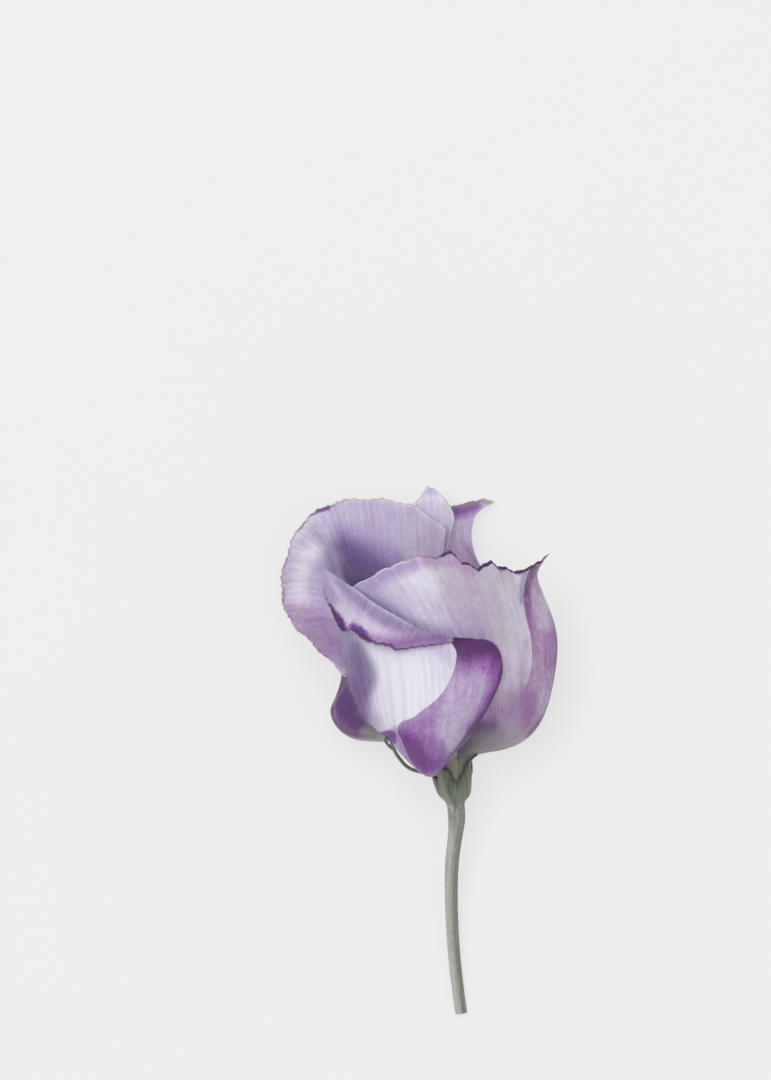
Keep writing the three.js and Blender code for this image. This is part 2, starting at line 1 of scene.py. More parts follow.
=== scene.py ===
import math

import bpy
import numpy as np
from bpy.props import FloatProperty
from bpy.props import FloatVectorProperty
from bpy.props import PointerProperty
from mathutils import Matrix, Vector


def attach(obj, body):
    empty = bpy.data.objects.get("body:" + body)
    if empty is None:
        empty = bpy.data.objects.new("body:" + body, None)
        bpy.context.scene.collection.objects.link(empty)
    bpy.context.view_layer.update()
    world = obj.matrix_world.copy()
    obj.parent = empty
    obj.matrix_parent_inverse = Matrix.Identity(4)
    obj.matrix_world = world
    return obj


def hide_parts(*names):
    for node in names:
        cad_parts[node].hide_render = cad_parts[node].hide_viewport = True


bl_info = {
    "name": "Lisianthus flower",
    "version": (1, 0, 0),
    "blender": (4, 5, 0),
    "location": "View3D > Sidebar > Flower",
    "description": "Builds a cut lisianthus flower that lies on its back",
    "category": "Add Mesh",
}

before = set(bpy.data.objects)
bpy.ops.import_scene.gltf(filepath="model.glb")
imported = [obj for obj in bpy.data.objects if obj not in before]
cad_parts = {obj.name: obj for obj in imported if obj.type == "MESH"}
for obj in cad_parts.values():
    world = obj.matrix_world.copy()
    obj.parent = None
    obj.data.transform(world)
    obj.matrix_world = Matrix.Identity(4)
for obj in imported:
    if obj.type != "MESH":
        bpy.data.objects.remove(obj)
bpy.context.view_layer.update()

MM = 0.001

# The flower is laid out in millimetres with the foot of its corolla near x = 0, y = 0. This is the middle
# of its footprint there, which is the origin of the frame.
FOOTPRINT = np.array([-8.08, 8.44, 0.0])

WHITE = (1.0, 1.0, 1.0)

# The bloom's axis: a point at the foot of the corolla, the way the bloom faces, and two ways across it
AXIS_FOOT = np.array([-0.45, 0.5, 16.6])
AXIS = np.array([-0.05, 0.93, 0.34])
AXIS /= np.linalg.norm(AXIS)
SIDE = np.array([1.0, 0.0, 0.0]) - AXIS * AXIS[0]
SIDE /= np.linalg.norm(SIDE)
FACE = np.cross(SIDE, AXIS)

# The narrow claws of the petals stand in a ring at the foot and reach up to the mouth of the tube
CLAW_RADIUS = 2.75
MOUTH_HEIGHT = 7.2
CLAW_SPREAD = 0.45

# Size of a facet on the petals, and the count of the net that is measured
PETAL_FACET = 0.42
SIZING_NET = 40

# A petal's edge waves in the last share of its blade, out of it and a share of that along it
WAVE_ZONE = 0.22
WAVE_ALONG = 0.7
WAVE_LAG = 0.8

# The traced rim and the fine ripple fade out over these shares of the blade below the rim
TRACE_ZONE = 0.1
RIPPLE_ZONE = 0.16
# The waves that a ripple is made of, as size, rate and lag, and how its move up the blade differs from the
# one out of it in lag and rate
RIPPLES = [(0.5, 1, 0.3), (0.3, 1.71, 1.9), (0.2, 2.93, 4.1)]
RIPPLE_LAG = 0.37
RIPPLE_RATE = 0.8

# Each petal hangs on ribs from the mouth of its claw to its rim, listed from left to right as the outside
# shows them. claw gives the azimuth of its first and last rib in degrees, 0 towards +Z and 90 towards +X;
# mouth gives the radius of the two at the mouth of the tube; waves is how many waves the rim has and wave
# their height; trace is the rim's outline from above where it is cut finer than the waves; ripple is the
# height and the number of its small crinkles.
PETALS = {
    "petal_front": {
        "claw": (-45, 15), "mouth": (3.8, 3.8), "waves": 5, "wave": 0.15, "ripple": (0.16, 34),
        "trace": [
            (-30.1, 51.9), (-29.3, 46.5), (-28.6, 42.2), (-27.9, 40.2), (-27.4, 39.4), (-26.2, 36.2),
            (-25.1, 34.4), (-23.9, 34.3), (-23.0, 34.8), (-21.6, 33.5), (-20.0, 32.3), (-17.3, 31.5),
            (-14.9, 31.2), (-13.6, 30.3), (-12.0, 30.4), (-9.5, 30.9), (-6.5, 31.2), (-3.5, 31.6),
            (-1.0, 32.2), (2.0, 32.6),
        ],
        "ribs": [
            [(-8.6, 8.2, 23.6), (-15.8, 12, 27), (-20.3, 16.5, 28.3), (-23.2, 22.5, 30), (-24.8, 30, 33),
             (-27, 40, 35.4), (-28.8, 47.5, 35.6), (-29.6, 50.3, 34.8), (-30.2, 52, 33.4)],
            [(-7.8, 5.4, 28.5), (-13.4, 9.7, 34), (-17.5, 14.5, 37), (-20.5, 22, 40), (-22, 31, 42),
             (-23.3, 38.5, 42.6), (-25.2, 45.6, 42.8), (-26.8, 42.8, 44.8), (-28.2, 39.6, 43.4)],
            [(-5.8, 4.3, 29.3), (-9.3, 5.6, 36.5), (-12.5, 12, 43), (-14, 21, 46.5), (-15.5, 30.5, 47.5),
             (-16.6, 36, 47.6), (-17.8, 40.4, 48.6), (-19.2, 37, 51), (-21.5, 32.8, 50.3)],
            [(-4.1, 4.1, 28), (-6, 4.1, 35.5), (-6.5, 10.5, 44), (-5.5, 20, 48), (-6, 28, 49),
             (-6.9, 32.2, 48.9), (-7.8, 34.9, 49.8), (-9, 33.2, 51.6), (-10.5, 30.7, 51.6)],
            [(-2.5, 5.8, 27.2), (-2.6, 6.4, 34), (-0.3, 11.5, 41.5), (2.5, 19.5, 46), (3.2, 26, 47.6),
             (2.8, 29.8, 47.8), (1.8, 32.2, 48.5), (0.6, 33.2, 49.4), (-0.6, 32.4, 50.3)],
            [(-0.6, 7.8, 26.6), (0.8, 9.6, 32.4), (4.2, 13.7, 37.8), (8, 20.5, 42.2), (9.7, 25, 43.4),
             (9.8, 28, 43.9), (9, 30.6, 44.3), (7.6, 32.2, 44.8), (5.5, 33.1, 45.6)],
        ],
    },
    "petal_right": {
        "claw": (19, 72), "mouth": (2.85, 4.5), "waves": 8, "wave": 0.2, "ripple": (0.14, 40),
        "trace": [
            (-23.4, 43.5), (-21.0, 45.2), (-18.7, 46.2), (-16.4, 47.9), (-14.4, 48.4), (-12.8, 49.4),
            (-10.6, 49.9), (-8.7, 50.6), (-6.6, 50.9), (-4.6, 50.5), (-3.0, 51.5), (-1.4, 52.1),
            (-0.1, 50.6), (0.8, 49.5), (2.4, 49.4), (4.3, 48.1), (5.8, 49.2), (7.4, 49.9), (8.7, 48.5),
            (10.4, 48.6), (12.3, 47.5), (14.5, 47.9), (16.5, 48.9), (18.3, 49.8), (20.2, 51.3),
        ],
        "ribs": [
            [(0.2, 9.5, 24.2), (-0.2, 15, 31.5), (-5.5, 24, 38), (-13, 34, 40.5), (-19.5, 41, 40.6),
             (-21.5, 42.4, 40.4), (-23.4, 43.6, 40)],
            [(3.8, 9, 25.3), (5, 13.5, 33), (2.8, 23, 40.4), (-1.5, 33.5, 43), (-6.2, 43, 42.8),
             (-8.2, 46.6, 42.5), (-10, 50, 42)],
            [(6.3, 8.7, 23.6), (10.4, 12.8, 30), (11.3, 22.5, 37.5), (9.2, 33, 40.5), (6.2, 42, 40.6),
             (4.8, 45.6, 40.4), (3.5, 49, 40.2)],
            [(8.2, 9, 21), (14.7, 13, 25.2), (18, 23, 31.5), (17.5, 33, 34), (15.5, 41.5, 34.7),
             (14.2, 44.6, 35), (13.2, 47.4, 35.4)],
            [(9.2, 8.7, 17.8), (16.9, 13, 18.8), (21, 24.5, 22), (21.4, 34, 24), (18.2, 42.8, 26),
             (16.8, 46.2, 27.2), (17.2, 49, 28.6)],
            [(7.8, 9.2, 13.9), (15.2, 13.4, 11.2), (18.9, 25.5, 11.5), (20.1, 35, 14), (17.9, 43.5, 18),
             (17.4, 47.2, 20.4), (20.1, 51, 23)],
        ],
    },
    "petal_back_right": {
        "claw": (83, 128), "mouth": (2.85, 3.85), "waves": 4, "wave": 0.3, "ripple": (0.22, 22),
        "trace": [
            (8.3, 62.5), (7, 63.1), (5.5, 63.4), (4.4, 62.7), (1.7, 62.3), (-1.1, 61.7), (-6, 60.9),
        ],
        "ribs": [
            [(5.8, 10.4, 17.6), (12.4, 16, 17.5), (16.2, 28, 17), (13, 38.5, 14.5), (6.4, 46.5, 11.5),
             (3.3, 54.6, 8.6), (4.5, 60, 5.8), (8.2, 62.4, 3.6)],
            [(5.5, 10, 13.6), (11.3, 15.5, 10.5), (14.5, 28, 7.6), (11.6, 39, 7.4), (5.8, 47.5, 7.2),
             (1.5, 55, 6), (2.3, 59.4, 4.2), (3.8, 62.5, 2)],
            [(3.8, 9.4, 10.6), (7, 15.5, 4.5), (8.3, 29, 1.2), (5.8, 40, 2), (1.4, 49, 3.6),
             (-1.2, 55, 3.8), (-1, 58.8, 2.8), (-0.5, 61.5, 1.4)],
            [(1.4, 9.1, 9.4), (0.8, 15.5, 2.8), (-1.2, 30, 0.55), (-3, 41, 1.2), (-4.5, 49.5, 2.5),
             (-5.5, 55, 2.8), (-5.8, 58, 2.1), (-6, 60.5, 1.2)],
            [(-0.9, 9, 9.2), (-5.2, 15.5, 2.3), (-11, 30, 0.35), (-13.6, 40, 1.2), (-13.6, 48.5, 2.4),
             (-13.6, 54, 2.8), (-13.7, 56.6, 2.1), (-13.8, 58.5, 1.2)],
        ],
    },
    "petal_back": {
        "claw": (142, 179), "mouth": (2.8, 3.8), "waves": 3, "wave": 0.25, "ripple": (0.12, 16),
        "trace": [
            (-0.5, 58.4), (-0.6, 59.6), (-1.2, 61.2), (-2, 62.6), (-3.3, 64), (-4.6, 65.1), (-5.6, 65.5),
            (-6.4, 66.1), (-6.9, 65), (-7.7, 63.8), (-8.8, 62.7), (-11.3, 61.5),
        ],
        "ribs": [
            [(1, 11.1, 15), (1.8, 20, 6.6), (0.3, 34, 4.6), (-1.5, 46, 7), (-1.8, 53.5, 9.5),
             (-0.3, 58.8, 11)],
            [(-0.6, 10.4, 12), (-2.5, 20, 5), (-4.5, 34, 4.2), (-5.5, 48, 7.3), (-5, 58, 9.6),
             (-5.8, 66.2, 9.2)],
            [(-2.6, 10.1, 10.6), (-6.6, 20, 4.3), (-10.5, 34, 3.9), (-11.5, 47, 6.8), (-11.5, 56, 9.4),
             (-12.5, 61, 9.6)],
        ],
    },
    "petal_left": {
        "claw": (190, 304), "mouth": (2.8, 2.85), "waves": 11, "wave": 0.4, "ripple": (0.26, 52),
        "trace": [],
        "ribs": [
            [(-1.3, 9.8, 14.4), (-1.5, 18, 9.6), (-2.3, 30, 8.3), (-3, 42, 10.8), (-3, 49, 12.8),
             (-2.7, 53.2, 14.2), (-2.3, 56.3, 15)],
            [(-2.7, 9.9, 13.2), (-5, 18, 7.9), (-7.5, 31, 7), (-8.6, 44, 10.6), (-8.6, 52, 14),
             (-8.7, 57.5, 15.4), (-9, 61.4, 15.5)],
            [(-4.2, 10, 12.3), (-8.8, 17.5, 6.2), (-13.2, 30, 5.6), (-16, 44, 10.4), (-17.2, 52.5, 14.6),
             (-17.8, 58.5, 15.6), (-18.3, 63.2, 14.8)],
            [(-5.6, 10.1, 11.8), (-12.4, 16.8, 4.6), (-18.2, 29, 4.8), (-21.6, 43, 12), (-24, 53, 17.6),
             (-25.3, 58.2, 18), (-26.6, 62.4, 16.8)],
            [(-7, 10.2, 11.6), (-15.4, 16, 4.2), (-21.3, 27.5, 5.8), (-25, 42, 15.2), (-28.6, 52.5, 22.4),
             (-31, 55.8, 22), (-33.4, 58.2, 20)],
            [(-8.3, 10.3, 11.8), (-18, 15, 5.4), (-22.9, 25.5, 8.6), (-25.8, 38.5, 18.5), (-29.4, 48, 26.5),
             (-33.4, 50.5, 25.8), (-37, 51, 23)],
            [(-9.5, 10.3, 12.4), (-20.8, 13.2, 8.3), (-24.4, 22.5, 11.8), (-24.8, 32.5, 20.3),
             (-28.2, 42.5, 29.3), (-33.5, 44, 28.8), (-38.2, 43.5, 25.8)],
            [(-10.1, 10.2, 14), (-22.8, 11.4, 13), (-26.9, 18.2, 15.5), (-23.6, 25.7, 21.8),
             (-26.6, 36.5, 30.6), (-31.2, 36.8, 30.2), (-36, 36.4, 27.4)],
            [(-9.5, 10.1, 17.3), (-20.2, 11.6, 18.6), (-26.2, 16.2, 20.6), (-23.6, 23.6, 25.2),
             (-24.6, 28.7, 29.6), (-27.5, 29.8, 29.8), (-30.6, 31, 28.5)],
            [(-7.2, 10, 20), (-14.4, 13, 23), (-20, 15.8, 24.2), (-22.2, 20, 26.4), (-23, 23, 28),
             (-23.4, 24.3, 28.5), (-24.1, 25.2, 28.5)],
            [(-4.4, 10.2, 21.8), (-9.4, 14, 26), (-14.8, 17.8, 28.4), (-18, 21.6, 30.6),
             (-19.3, 24.3, 31.9),
             (-19.9, 25.9, 32.5), (-20.5, 27.3, 32.8)],
        ],
    },
}

# How each petal is coloured. Every layer is laid over the ones before it, on one face of the blade:
# (channel, face, amount, softness, line), where the line is seen from above and a layer covers what lies
# within the third number of each of its points. A border's line has the band on the left of it as it runs.
# Rose, purple and plum stop at it, and stain is purple that doesn't. The grey and the deep violet channels
# are painted shade, some lilac, plum and green layers paint shade too, and a few thinner lilac and purple
# layers are painted highlights.
PAINT = {
    "petal_front": [
        ("border", "outer", 0, 0, [
            (-1.9, 33.4), (-1.2, 31.9), (-0.3, 30.3), (-0.2, 29.0), (-0.5, 27.2), (-1.3, 24.8),
            (-2.7, 22.1), (-4.9, 19.5), (-7.6, 17.5), (-10.2, 15.7), (-12.4, 14.8), (-12.9, 13.4),
            (-12.3, 11.5), (-11.6, 9.8), (-10.9, 8.0), (-9.9, 6.2), (-8.6, 4.6), (-6.7, 3.0),
            (-4.0, 1.0),
        ]),
        ("lilac", "outer", 0.05, 3, [(-12, 28, 3), (-9, 22, 4), (-12, 17, 1)]),
        ("lilac", "outer", 0.1, 3.5, [(-16, 32, 0.5), (-8, 31.4, 0.8), (-2, 29.8, 1)]),
        ("mauve", "outer", 0.1, 4, [(-14, 31, 0.5), (-8, 31.2, 0.8), (-2, 29, 1.5), (-3, 25, 0.5)]),
        ("lilac", "outer", 0.3, 1.6, [(-5, 30.6, 0.2), (-2.6, 29.8, 0.8), (-1.4, 28, 0.4)]),
        ("mauve", "outer", 0.2, 1.4, [(-4, 30.4, 0.2), (-2, 29.8, 0.5)]),
        # Down the left side a purple band of its own, with painted shade over it where the blade turns away
        ("lilac", "outer", 0.7, 3.6, [
            (-24, 34, 0.8), (-23, 28, 1.6), (-21.6, 22, 1.4), (-20.4, 17, 0.4), (-18.6, 14, 0.1),
        ]),
        ("violet", "outer", 0.3, 2.4, [(-24.8, 34, 0.5), (-24.4, 30, 0.8), (-23.8, 25, 0.9)]),
        ("stain", "outer", 0.4, 2.6, [
            (-23, 28, 0.5), (-22.2, 23.5, 1), (-21, 19, 0.8), (-20, 15.8, 0.2),
        ]),
        ("dusk", "outer", 0.44, 3, [(-21.6, 30, 0.2), (-20.2, 25, 1.2), (-21.6, 20, 0.6)]),
        ("violet", "outer", 0.56, 3, [
            (-22, 31, 0.1), (-21, 28.6, 0.4), (-20.2, 26.4, 0.8), (-19.9, 24, 0.9), (-21, 21.5, 0.8),
            (-21.7, 19.3, 0.5), (-21.2, 17, 0.1),
        ]),
        ("stain", "outer", 0.8, 1.4, [
            (-23, 24, 0.2), (-22.3, 21, 0.8), (-21.6, 18, 0.6), (-20.2, 15.4, 0.2),
        ]),
        ("purple", "outer", 0.62, 3, [(6, 30, 30), (-8, 8, 30)]),
        ("purple", "outer", 0.85, 3.4, [(0.6, 29, 0.8), (3.4, 27.4, 1.2), (5, 24.6, 0.8)]),
        # A painted highlight down the band's left middle, where the purple is thinner
        ("purple", "outer", 0.5, 3, [(0, 22.4, 0.8), (-0.6, 18.6, 1.4)]),
        ("purple", "outer", 0.44, 3, [(-1, 16.4, 1.2), (-1.6, 13, 1.2), (-1.8, 10.8, 0.5)]),
        ("purple", "outer", 0.5, 3, [(4.6, 24, 0.8), (3, 20, 1.2), (2.2, 16.6, 0.6)]),
        ("purple", "outer", 0.98, 4.6, [
            (-0.9, 32.4, 0.6), (4.5, 32, 1), (8.6, 30.4, 0.7), (9.7, 26, 0.2),
        ]),
        ("plum", "outer", 0.78, 3.4, [
            (-0.4, 31.4, 1.1), (2, 31.2, 1.3), (4.6, 31.4, 0.8), (7.4, 31, 0.2), (9, 29.6, 0.1),
        ]),
        ("purple", "outer", 0.95, 2.2, [
            (9.9, 28.4, 0.3), (9.2, 23.6, 0.4), (6.6, 18, 0.3), (3.4, 13.2, 0.2),
        ]),
        ("plum", "outer", 0.8, 0.6, [
            (9.9, 27.5, 0.2), (9.2, 23, 0.25), (6.6, 17.6, 0.3), (3.5, 13.5, 0.35), (0.4, 9.3, 0.35),
            (-1.4, 6.9, 0.3),
        ]),
        ("purple", "outer", 0.78, 2.8, [(-6.8, 14.8, 0.1), (-8.8, 13.6, 0.8), (-11, 12.8, 0.8)]),
        ("purple", "outer", 0.97, 3.2, [
            (-11.4, 10.5, 0.8), (-8.8, 8.6, 1.6), (-6, 6.4, 1.6), (-3.6, 6, 0.8),
        ]),
        ("purple", "outer", 0.84, 2.4, [(-6.4, 10.6, 0.4), (-4.8, 9, 0.8)]),
        ("plum", "outer", 0.32, 3.2, [(-11.4, 11, 0.3), (-9.4, 8.4, 1.2), (-7.4, 5.8, 0.4)]),
        ("lilac", "outer", 0.7, 1.1, [
            (-13.6, 13, 0.4), (-12.9, 10.4, 0.4), (-11.6, 7.2, 0.4), (-9.6, 4.6, 0.2),
        ]),
        ("stain", "outer", 0.42, 1.3, [
            (-12.6, 12.4, 0.1), (-11.9, 10.4, 0.2), (-10.8, 7.8, 0.3), (-9, 5, 0.3),
        ]),
        ("stain", "outer", 1, 0.4, [
            (-16.4, 12.4, 0.2), (-15.2, 12.2, 0.8), (-14.3, 12, 0.9), (-14, 10.8, 0.7),
        ]),
        ("plum", "outer", 0.5, 0.5, [(-16.4, 12.3, 0.2), (-15.2, 11.8, 0.5), (-14.4, 11.2, 0.6)]),
        ("violet", "outer", 0.4, 0.4, [(-16.4, 12.1, 0.15), (-15.3, 11.9, 0.4), (-14.4, 11.6, 0.4)]),
        ("green", "outer", 0.85, 0.8, [(0.2, 7.8, 0.3), (-0.5, 6.6, 0.8), (0.4, 5.5, 0.8)]),
        # Painted shade at the foot, by the calyx
        ("violet", "outer", 0.4, 1, [(-1.6, 6.8, 0.2), (-0.6, 7, 0.6)]),
        ("lilac", "inner", 0.5, 3, [(-28, 42, 1), (-20, 37, 1), (-12, 34, 1), (-4, 33, 1)]),
        ("mauve", "inner", 0.2, 3, [(-28, 42, 1), (-20, 37, 1), (-12, 34, 1), (-4, 33, 1)]),
        # A painted highlight across the lip's roll, then painted shade along its crest
        ("lilac", "inner", 0.24, 1.6, [
            (-25.4, 39.8, 0.3), (-23.6, 38.2, 0.7), (-20, 35.8, 0.6), (-16, 34.2, 0.2),
        ]),
        ("lilac", "inner", 0.72, 1.6, [(-29.4, 49, 0.3), (-28.2, 44.5, 0.5), (-27.4, 41.2, 0.4)]),
        ("lilac", "inner", 0.66, 1.8, [
            (-27, 46.4, 0.1), (-24, 43.4, 0.4), (-21, 41, 0.5), (-17.5, 38.4, 0.6), (-13.6, 36, 0.5),
            (-9.4, 34.3, 0.5), (-4, 33.3, 0.4),
        ]),
        ("violet", "inner", 0.34, 1.4, [
            (-25.6, 45.2, 0.1), (-22.6, 42.4, 0.4), (-19.6, 40, 0.4), (-15.6, 37.2, 0.4),
            (-11.6, 35.2, 0.3), (-4, 33.4, 0.3),
        ]),
        ("mauve", "inner", 0.54, 1.8, [
            (-22, 33.8, 0.4), (-15, 31.8, 0.8), (-8, 32, 0.8), (-3, 32.8, 0.5),
        ]),
        ("stain", "inner", 0.38, 1.6, [(-20, 33, 0.2), (-13, 31, 0.5), (-6, 32, 0.9), (-1, 32.9, 0.6)]),
        # Painted shade at the lip's right end, by the fold
        ("violet", "inner", 0.36, 2, [(-14, 31.6, 0.2), (-9, 33, 0.5), (-3, 33, 0.6)]),
        ("plum", "inner", 1, 0.6, [
            (-0.6, 32.8, 0.3), (1.6, 33.1, 0.7), (4, 33.2, 0.9), (7.5, 32.4, 0.9),
        ]),
        ("stain", "inner", 0.97, 0.6, [
            (-27.5, 39.8, 0.2), (-26.6, 37.8, 0.7), (-25.5, 36.2, 1), (-24.3, 35, 0.5),
        ]),
        ("plum", "inner", 0.9, 0.5, [
            (-27.6, 40, 0.3), (-26.7, 37.9, 0.8), (-25.8, 36.3, 1), (-24.6, 35, 0.4),
        ]),
        ("violet", "inner", 0.5, 0.5, [(-27.4, 39.4, 0.1), (-26.6, 37.4, 0.4), (-25.4, 35.7, 0.6)]),
        ("stain", "inner", 0.95, 0.6, [
            (-22.8, 35.8, 0.3), (-21.2, 34.8, 0.6), (-19.8, 33.6, 0.5), (-18.6, 32.6, 0.1),
        ]),
        ("violet", "inner", 0.8, 0.6, [(-22.6, 35.6, 0.2), (-21.2, 34.7, 0.5), (-19.9, 33.6, 0.4)]),
        ("edge", "inner", 0.85, 2, [(-28.4, 41.5, 2), (-25, 35, 2), (-14, 31, 2), (-1, 32.5, 2)]),
        ("dusk", "inner", 0.12, 6, [(-16, 38, 12)]),
    ],
    "petal_right": [
        ("border", "outer", 0, 0, [
            (17.4, 51), (15.6, 47.8), (14.9, 45.6), (14.5, 43.4), (14.4, 40.6), (15.0, 36.7),
            (15.8, 34.0), (16.1, 31.4), (16.1, 28.6), (15.8, 25.6), (14.6, 22.4), (12, 19), (6, 16),
            (-4, 9),
        ]),
        # Painted shade, greyer and darker towards the right of the blade
        ("dusk", "outer", 0.26, 8, [(-16, 42, 2), (-8, 42, 2)]),
        ("dusk", "outer", 0.54, 7, [(0, 46, 2), (2.4, 38, 2), (6, 30, 2)]),
        ("lilac", "outer", 0.26, 4, [(-4, 38, 0.6), (0, 36.6, 1.2), (4, 36, 1)]),
        ("dusk", "outer", 0.58, 6, [(8, 46, 2), (10, 38, 2), (11, 30, 1.5)]),
        ("dusk", "outer", 0.34, 5, [(9.6, 27, 1.5), (10.5, 22, 2)]),
        ("dusk", "outer", 0.42, 2.6, [
            (11.4, 44, 0.5), (12.6, 38, 0.8), (13.6, 32, 0.8), (13.8, 26, 0.4),
        ]),
        ("dusk", "outer", 0.14, 4, [(-13.4, 43.4, 1.4), (-8.6, 43, 1.8)]),
        ("lilac", "outer", 0.3, 3.4, [(-17.6, 44.6, 0.8), (-13, 42.6, 1), (-8, 41.4, 0.6)]),
        ("lilac", "outer", 0.1, 5, [(10, 24, 3), (8, 14, 5)]),
        ("mauve", "outer", 0.2, 4, [(0.6, 46, 0.5), (3.4, 38, 1.4), (6, 31, 1), (10, 20, 1.5)]),
        ("mauve", "outer", 0.26, 1, [(15, 32.6, 0.2), (15, 30, 0.5), (14.6, 26, 0.5)]),
        # Painted shadow along the lip's crest, and painted shade just under the rim
        ("lilac", "outer", 0.6, 4, [(-20, 43, 1), (-16, 39.6, 0.8), (-12.4, 37, 0.5)]),
        ("lilac", "outer", 0.42, 3.4, [(-11, 36.2, 0.3), (-5, 34.4, 0.4), (4, 33.4, 0.3)]),
        ("violet", "outer", 0.3, 2.4, [
            (-19, 41, 0.4), (-15.6, 38.8, 0.5), (-11, 36.2, 0.3), (-2, 33.4, 0.3),
        ]),
        ("lilac", "outer", 0.78, 3, [
            (-21.4, 44, 0.6), (-17.5, 46, 0.4), (-13.5, 48, 0.4), (-10, 49, 0.2),
        ]),
        ("mauve", "outer", 0.4, 2.2, [(-9, 49.8, 0.4), (-4, 50, 0.9), (-1, 50.4, 0.9), (3, 48.2, 0.5)]),
        ("dusk", "outer", 0.62, 2.2, [(-6, 50, 0.6), (-1, 50.2, 0.8), (4, 47.8, 0.6)]),
        ("rose", "outer", 0.7, 3, [(22, 50, 9), (24.4, 31, 9), (24, 25, 8), (18, 16, 3)]),
        ("rose", "outer", 0.6, 2, [(20.6, 25, 0.3), (19.6, 21, 0.6)]),
        ("rose", "outer", 0.7, 2.6, [(17, 27, 0.2), (16.6, 23.2, 0.5), (15.6, 19, 0.6)]),
        ("mauve", "outer", 0.36, 3, [(15, 25, 0.2), (13.6, 21, 0.6), (11, 17.6, 0.5)]),
        ("dusk", "outer", 0.5, 3, [(14.6, 25, 0.2), (13.4, 20, 0.8)]),
        ("rose", "outer", 0.6, 1.2, [(17, 42.5, 0.4), (17.6, 36, 0.6)]),
        ("rose", "outer", 0.4, 1.4, [(18.8, 41.5, 0.3), (19.4, 36, 0.5)]),
        ("rose", "outer", 0.8, 2.2, [(20.4, 33, 0.2), (20.6, 28, 0.4)]),
        ("rose", "outer", 0.5, 2.4, [(18.8, 20.4, 0.2), (18, 17.8, 0.2)]),
        ("purple", "outer", 0.22, 2.4, [(20.6, 38, 0.2), (21.6, 30, 0.4), (21, 22, 0.3)]),
        ("purple", "outer", 0.3, 1.2, [(15.4, 44.4, 0.2), (15.2, 40, 0.3), (16.2, 35, 0.1)]),
        # Painted shadow of the fold along the left of the band
        ("plum", "outer", 0.2, 1.2, [(15.6, 37.6, 0.2), (16.3, 34, 0.1), (16.7, 30, 0)]),
        ("plum", "outer", 0.42, 1, [(15.2, 42.4, 0.3), (15.5, 38.6, 0)]),
        ("plum", "outer", 0.66, 1, [(16.4, 48.2, 0.5), (15.3, 45.4, 0.5), (15, 42.8, 0.2)]),
        ("violet", "outer", 0.5, 0.9, [(14.8, 47, 0.3), (14.2, 44.5, 0.3), (14, 41, 0.1)]),
        # Painted shade along the right contour, where the blade turns away
        ("plum", "outer", 0.5, 0.6, [
            (20.6, 40.4, 0.1), (21.5, 35.5, 0.2), (21.9, 30.7, 0.2), (21.6, 25.9, 0.2),
            (20.8, 21.1, 0.2), (19.2, 16.3, 0.2), (15.2, 11.4, 0.1),
        ]),
        # Painted shade towards the foot and a painted shadow beside the front petal's tip, in grey, violet,
        # plum and green; the claw's green is its own
        ("dusk", "outer", 0.75, 4, [(8, 17.6, 0.8), (11, 18, 1.6), (14, 18, 1.8), (13, 14, 1)]),
        ("stain", "outer", 0.2, 1.6, [(13.8, 22, 0.1), (12.6, 17.5, 0.3), (11.4, 14.6, 0.3)]),
        ("stain", "outer", 0.24, 1.6, [(16.6, 20.6, 0.2), (15.4, 16.4, 0.3)]),
        ("dusk", "outer", 0.8, 4, [(8, 12, 2), (13, 13, 1)]),
        ("dusk", "outer", 0.95, 4, [(2, 9, 2), (6.6, 11, 1.6)]),
        ("green", "outer", 0.7, 3, [(-1, 6.5, 1.4), (5, 7, 1.2), (9, 7.6, 0.8), (12.5, 9, 0.2)]),
        ("violet", "outer", 0.4, 2.6, [(-1, 7.4, 1), (1.4, 10.4, 1.2), (4.4, 13.4, 0.8)]),
        ("plum", "outer", 0.5, 2.6, [(1.4, 9.8, 0.4), (5, 12.8, 0.9), (7.4, 14.4, 0.3)]),
        ("green", "outer", 0.4, 2.6, [(1.8, 9.6, 0.8), (5, 11, 0.8), (9, 10.4, 0.6)]),
        ("violet", "outer", 0.24, 2.4, [(3, 9.6, 0.6), (6, 11, 1), (8.4, 12.4, 0.5)]),
        ("violet", "outer", 0.85, 1.4, [(-1.6, 6.6, 0.8), (0.4, 8.4, 0.9), (2.2, 9.8, 0.5)]),
        ("stain", "outer", 0.4, 2.8, [(1.6, 11, 0.4), (5.8, 14.4, 0.9), (8.6, 16.4, 0.6)]),
        ("edge", "outer", 0, 1.2, [(-23.4, 43.5, 2), (-14.4, 48.4, 2), (-9, 50.6, 1)]),
        ("edge", "outer", 0.45, 1, [(-7, 50.8, 0.6), (-5, 50.6, 1)]),
        ("edge", "outer", 1, 1.2, [(-2.4, 52, 1.4), (4, 48.5, 1.6), (12, 47.5, 1.6), (18, 49.8, 1)]),
        ("green", "outer", 0.7, 0.8, [(17.8, 49.4, 0.1), (20.6, 51.6, 0.6)]),
        ("edge", "outer", 0.4, 0.8, [(18.8, 50.2, 0.3), (20.6, 51.6, 0.8)]),
        ("stain", "outer", 0.9, 0.3, [(3.6, 48.6, 0.2), (4.3, 48.5, 0.5), (5, 48.8, 0.2)]),
        ("violet", "outer", 0.7, 0.3, [(3.6, 48.5, 0.15), (4.3, 48.4, 0.4), (5, 48.7, 0.15)]),
        ("stain", "outer", 0.9, 0.3, [(9, 48.1, 0.2), (9.7, 48, 0.45), (10.4, 48.2, 0.2)]),
        ("stain", "outer", 0.9, 0.3, [(12.6, 47.3, 0.2), (13.4, 47.2, 0.45), (14.4, 47.5, 0.2)]),
        ("edge", "inner", 1, 1.2, [(-2.4, 52, 1.4), (4, 48.5, 1.6), (12, 47.5, 1.6), (20, 51, 1.6)]),
        ("lilac", "inner", 0.5, 8, [(0, 44, 12)]),
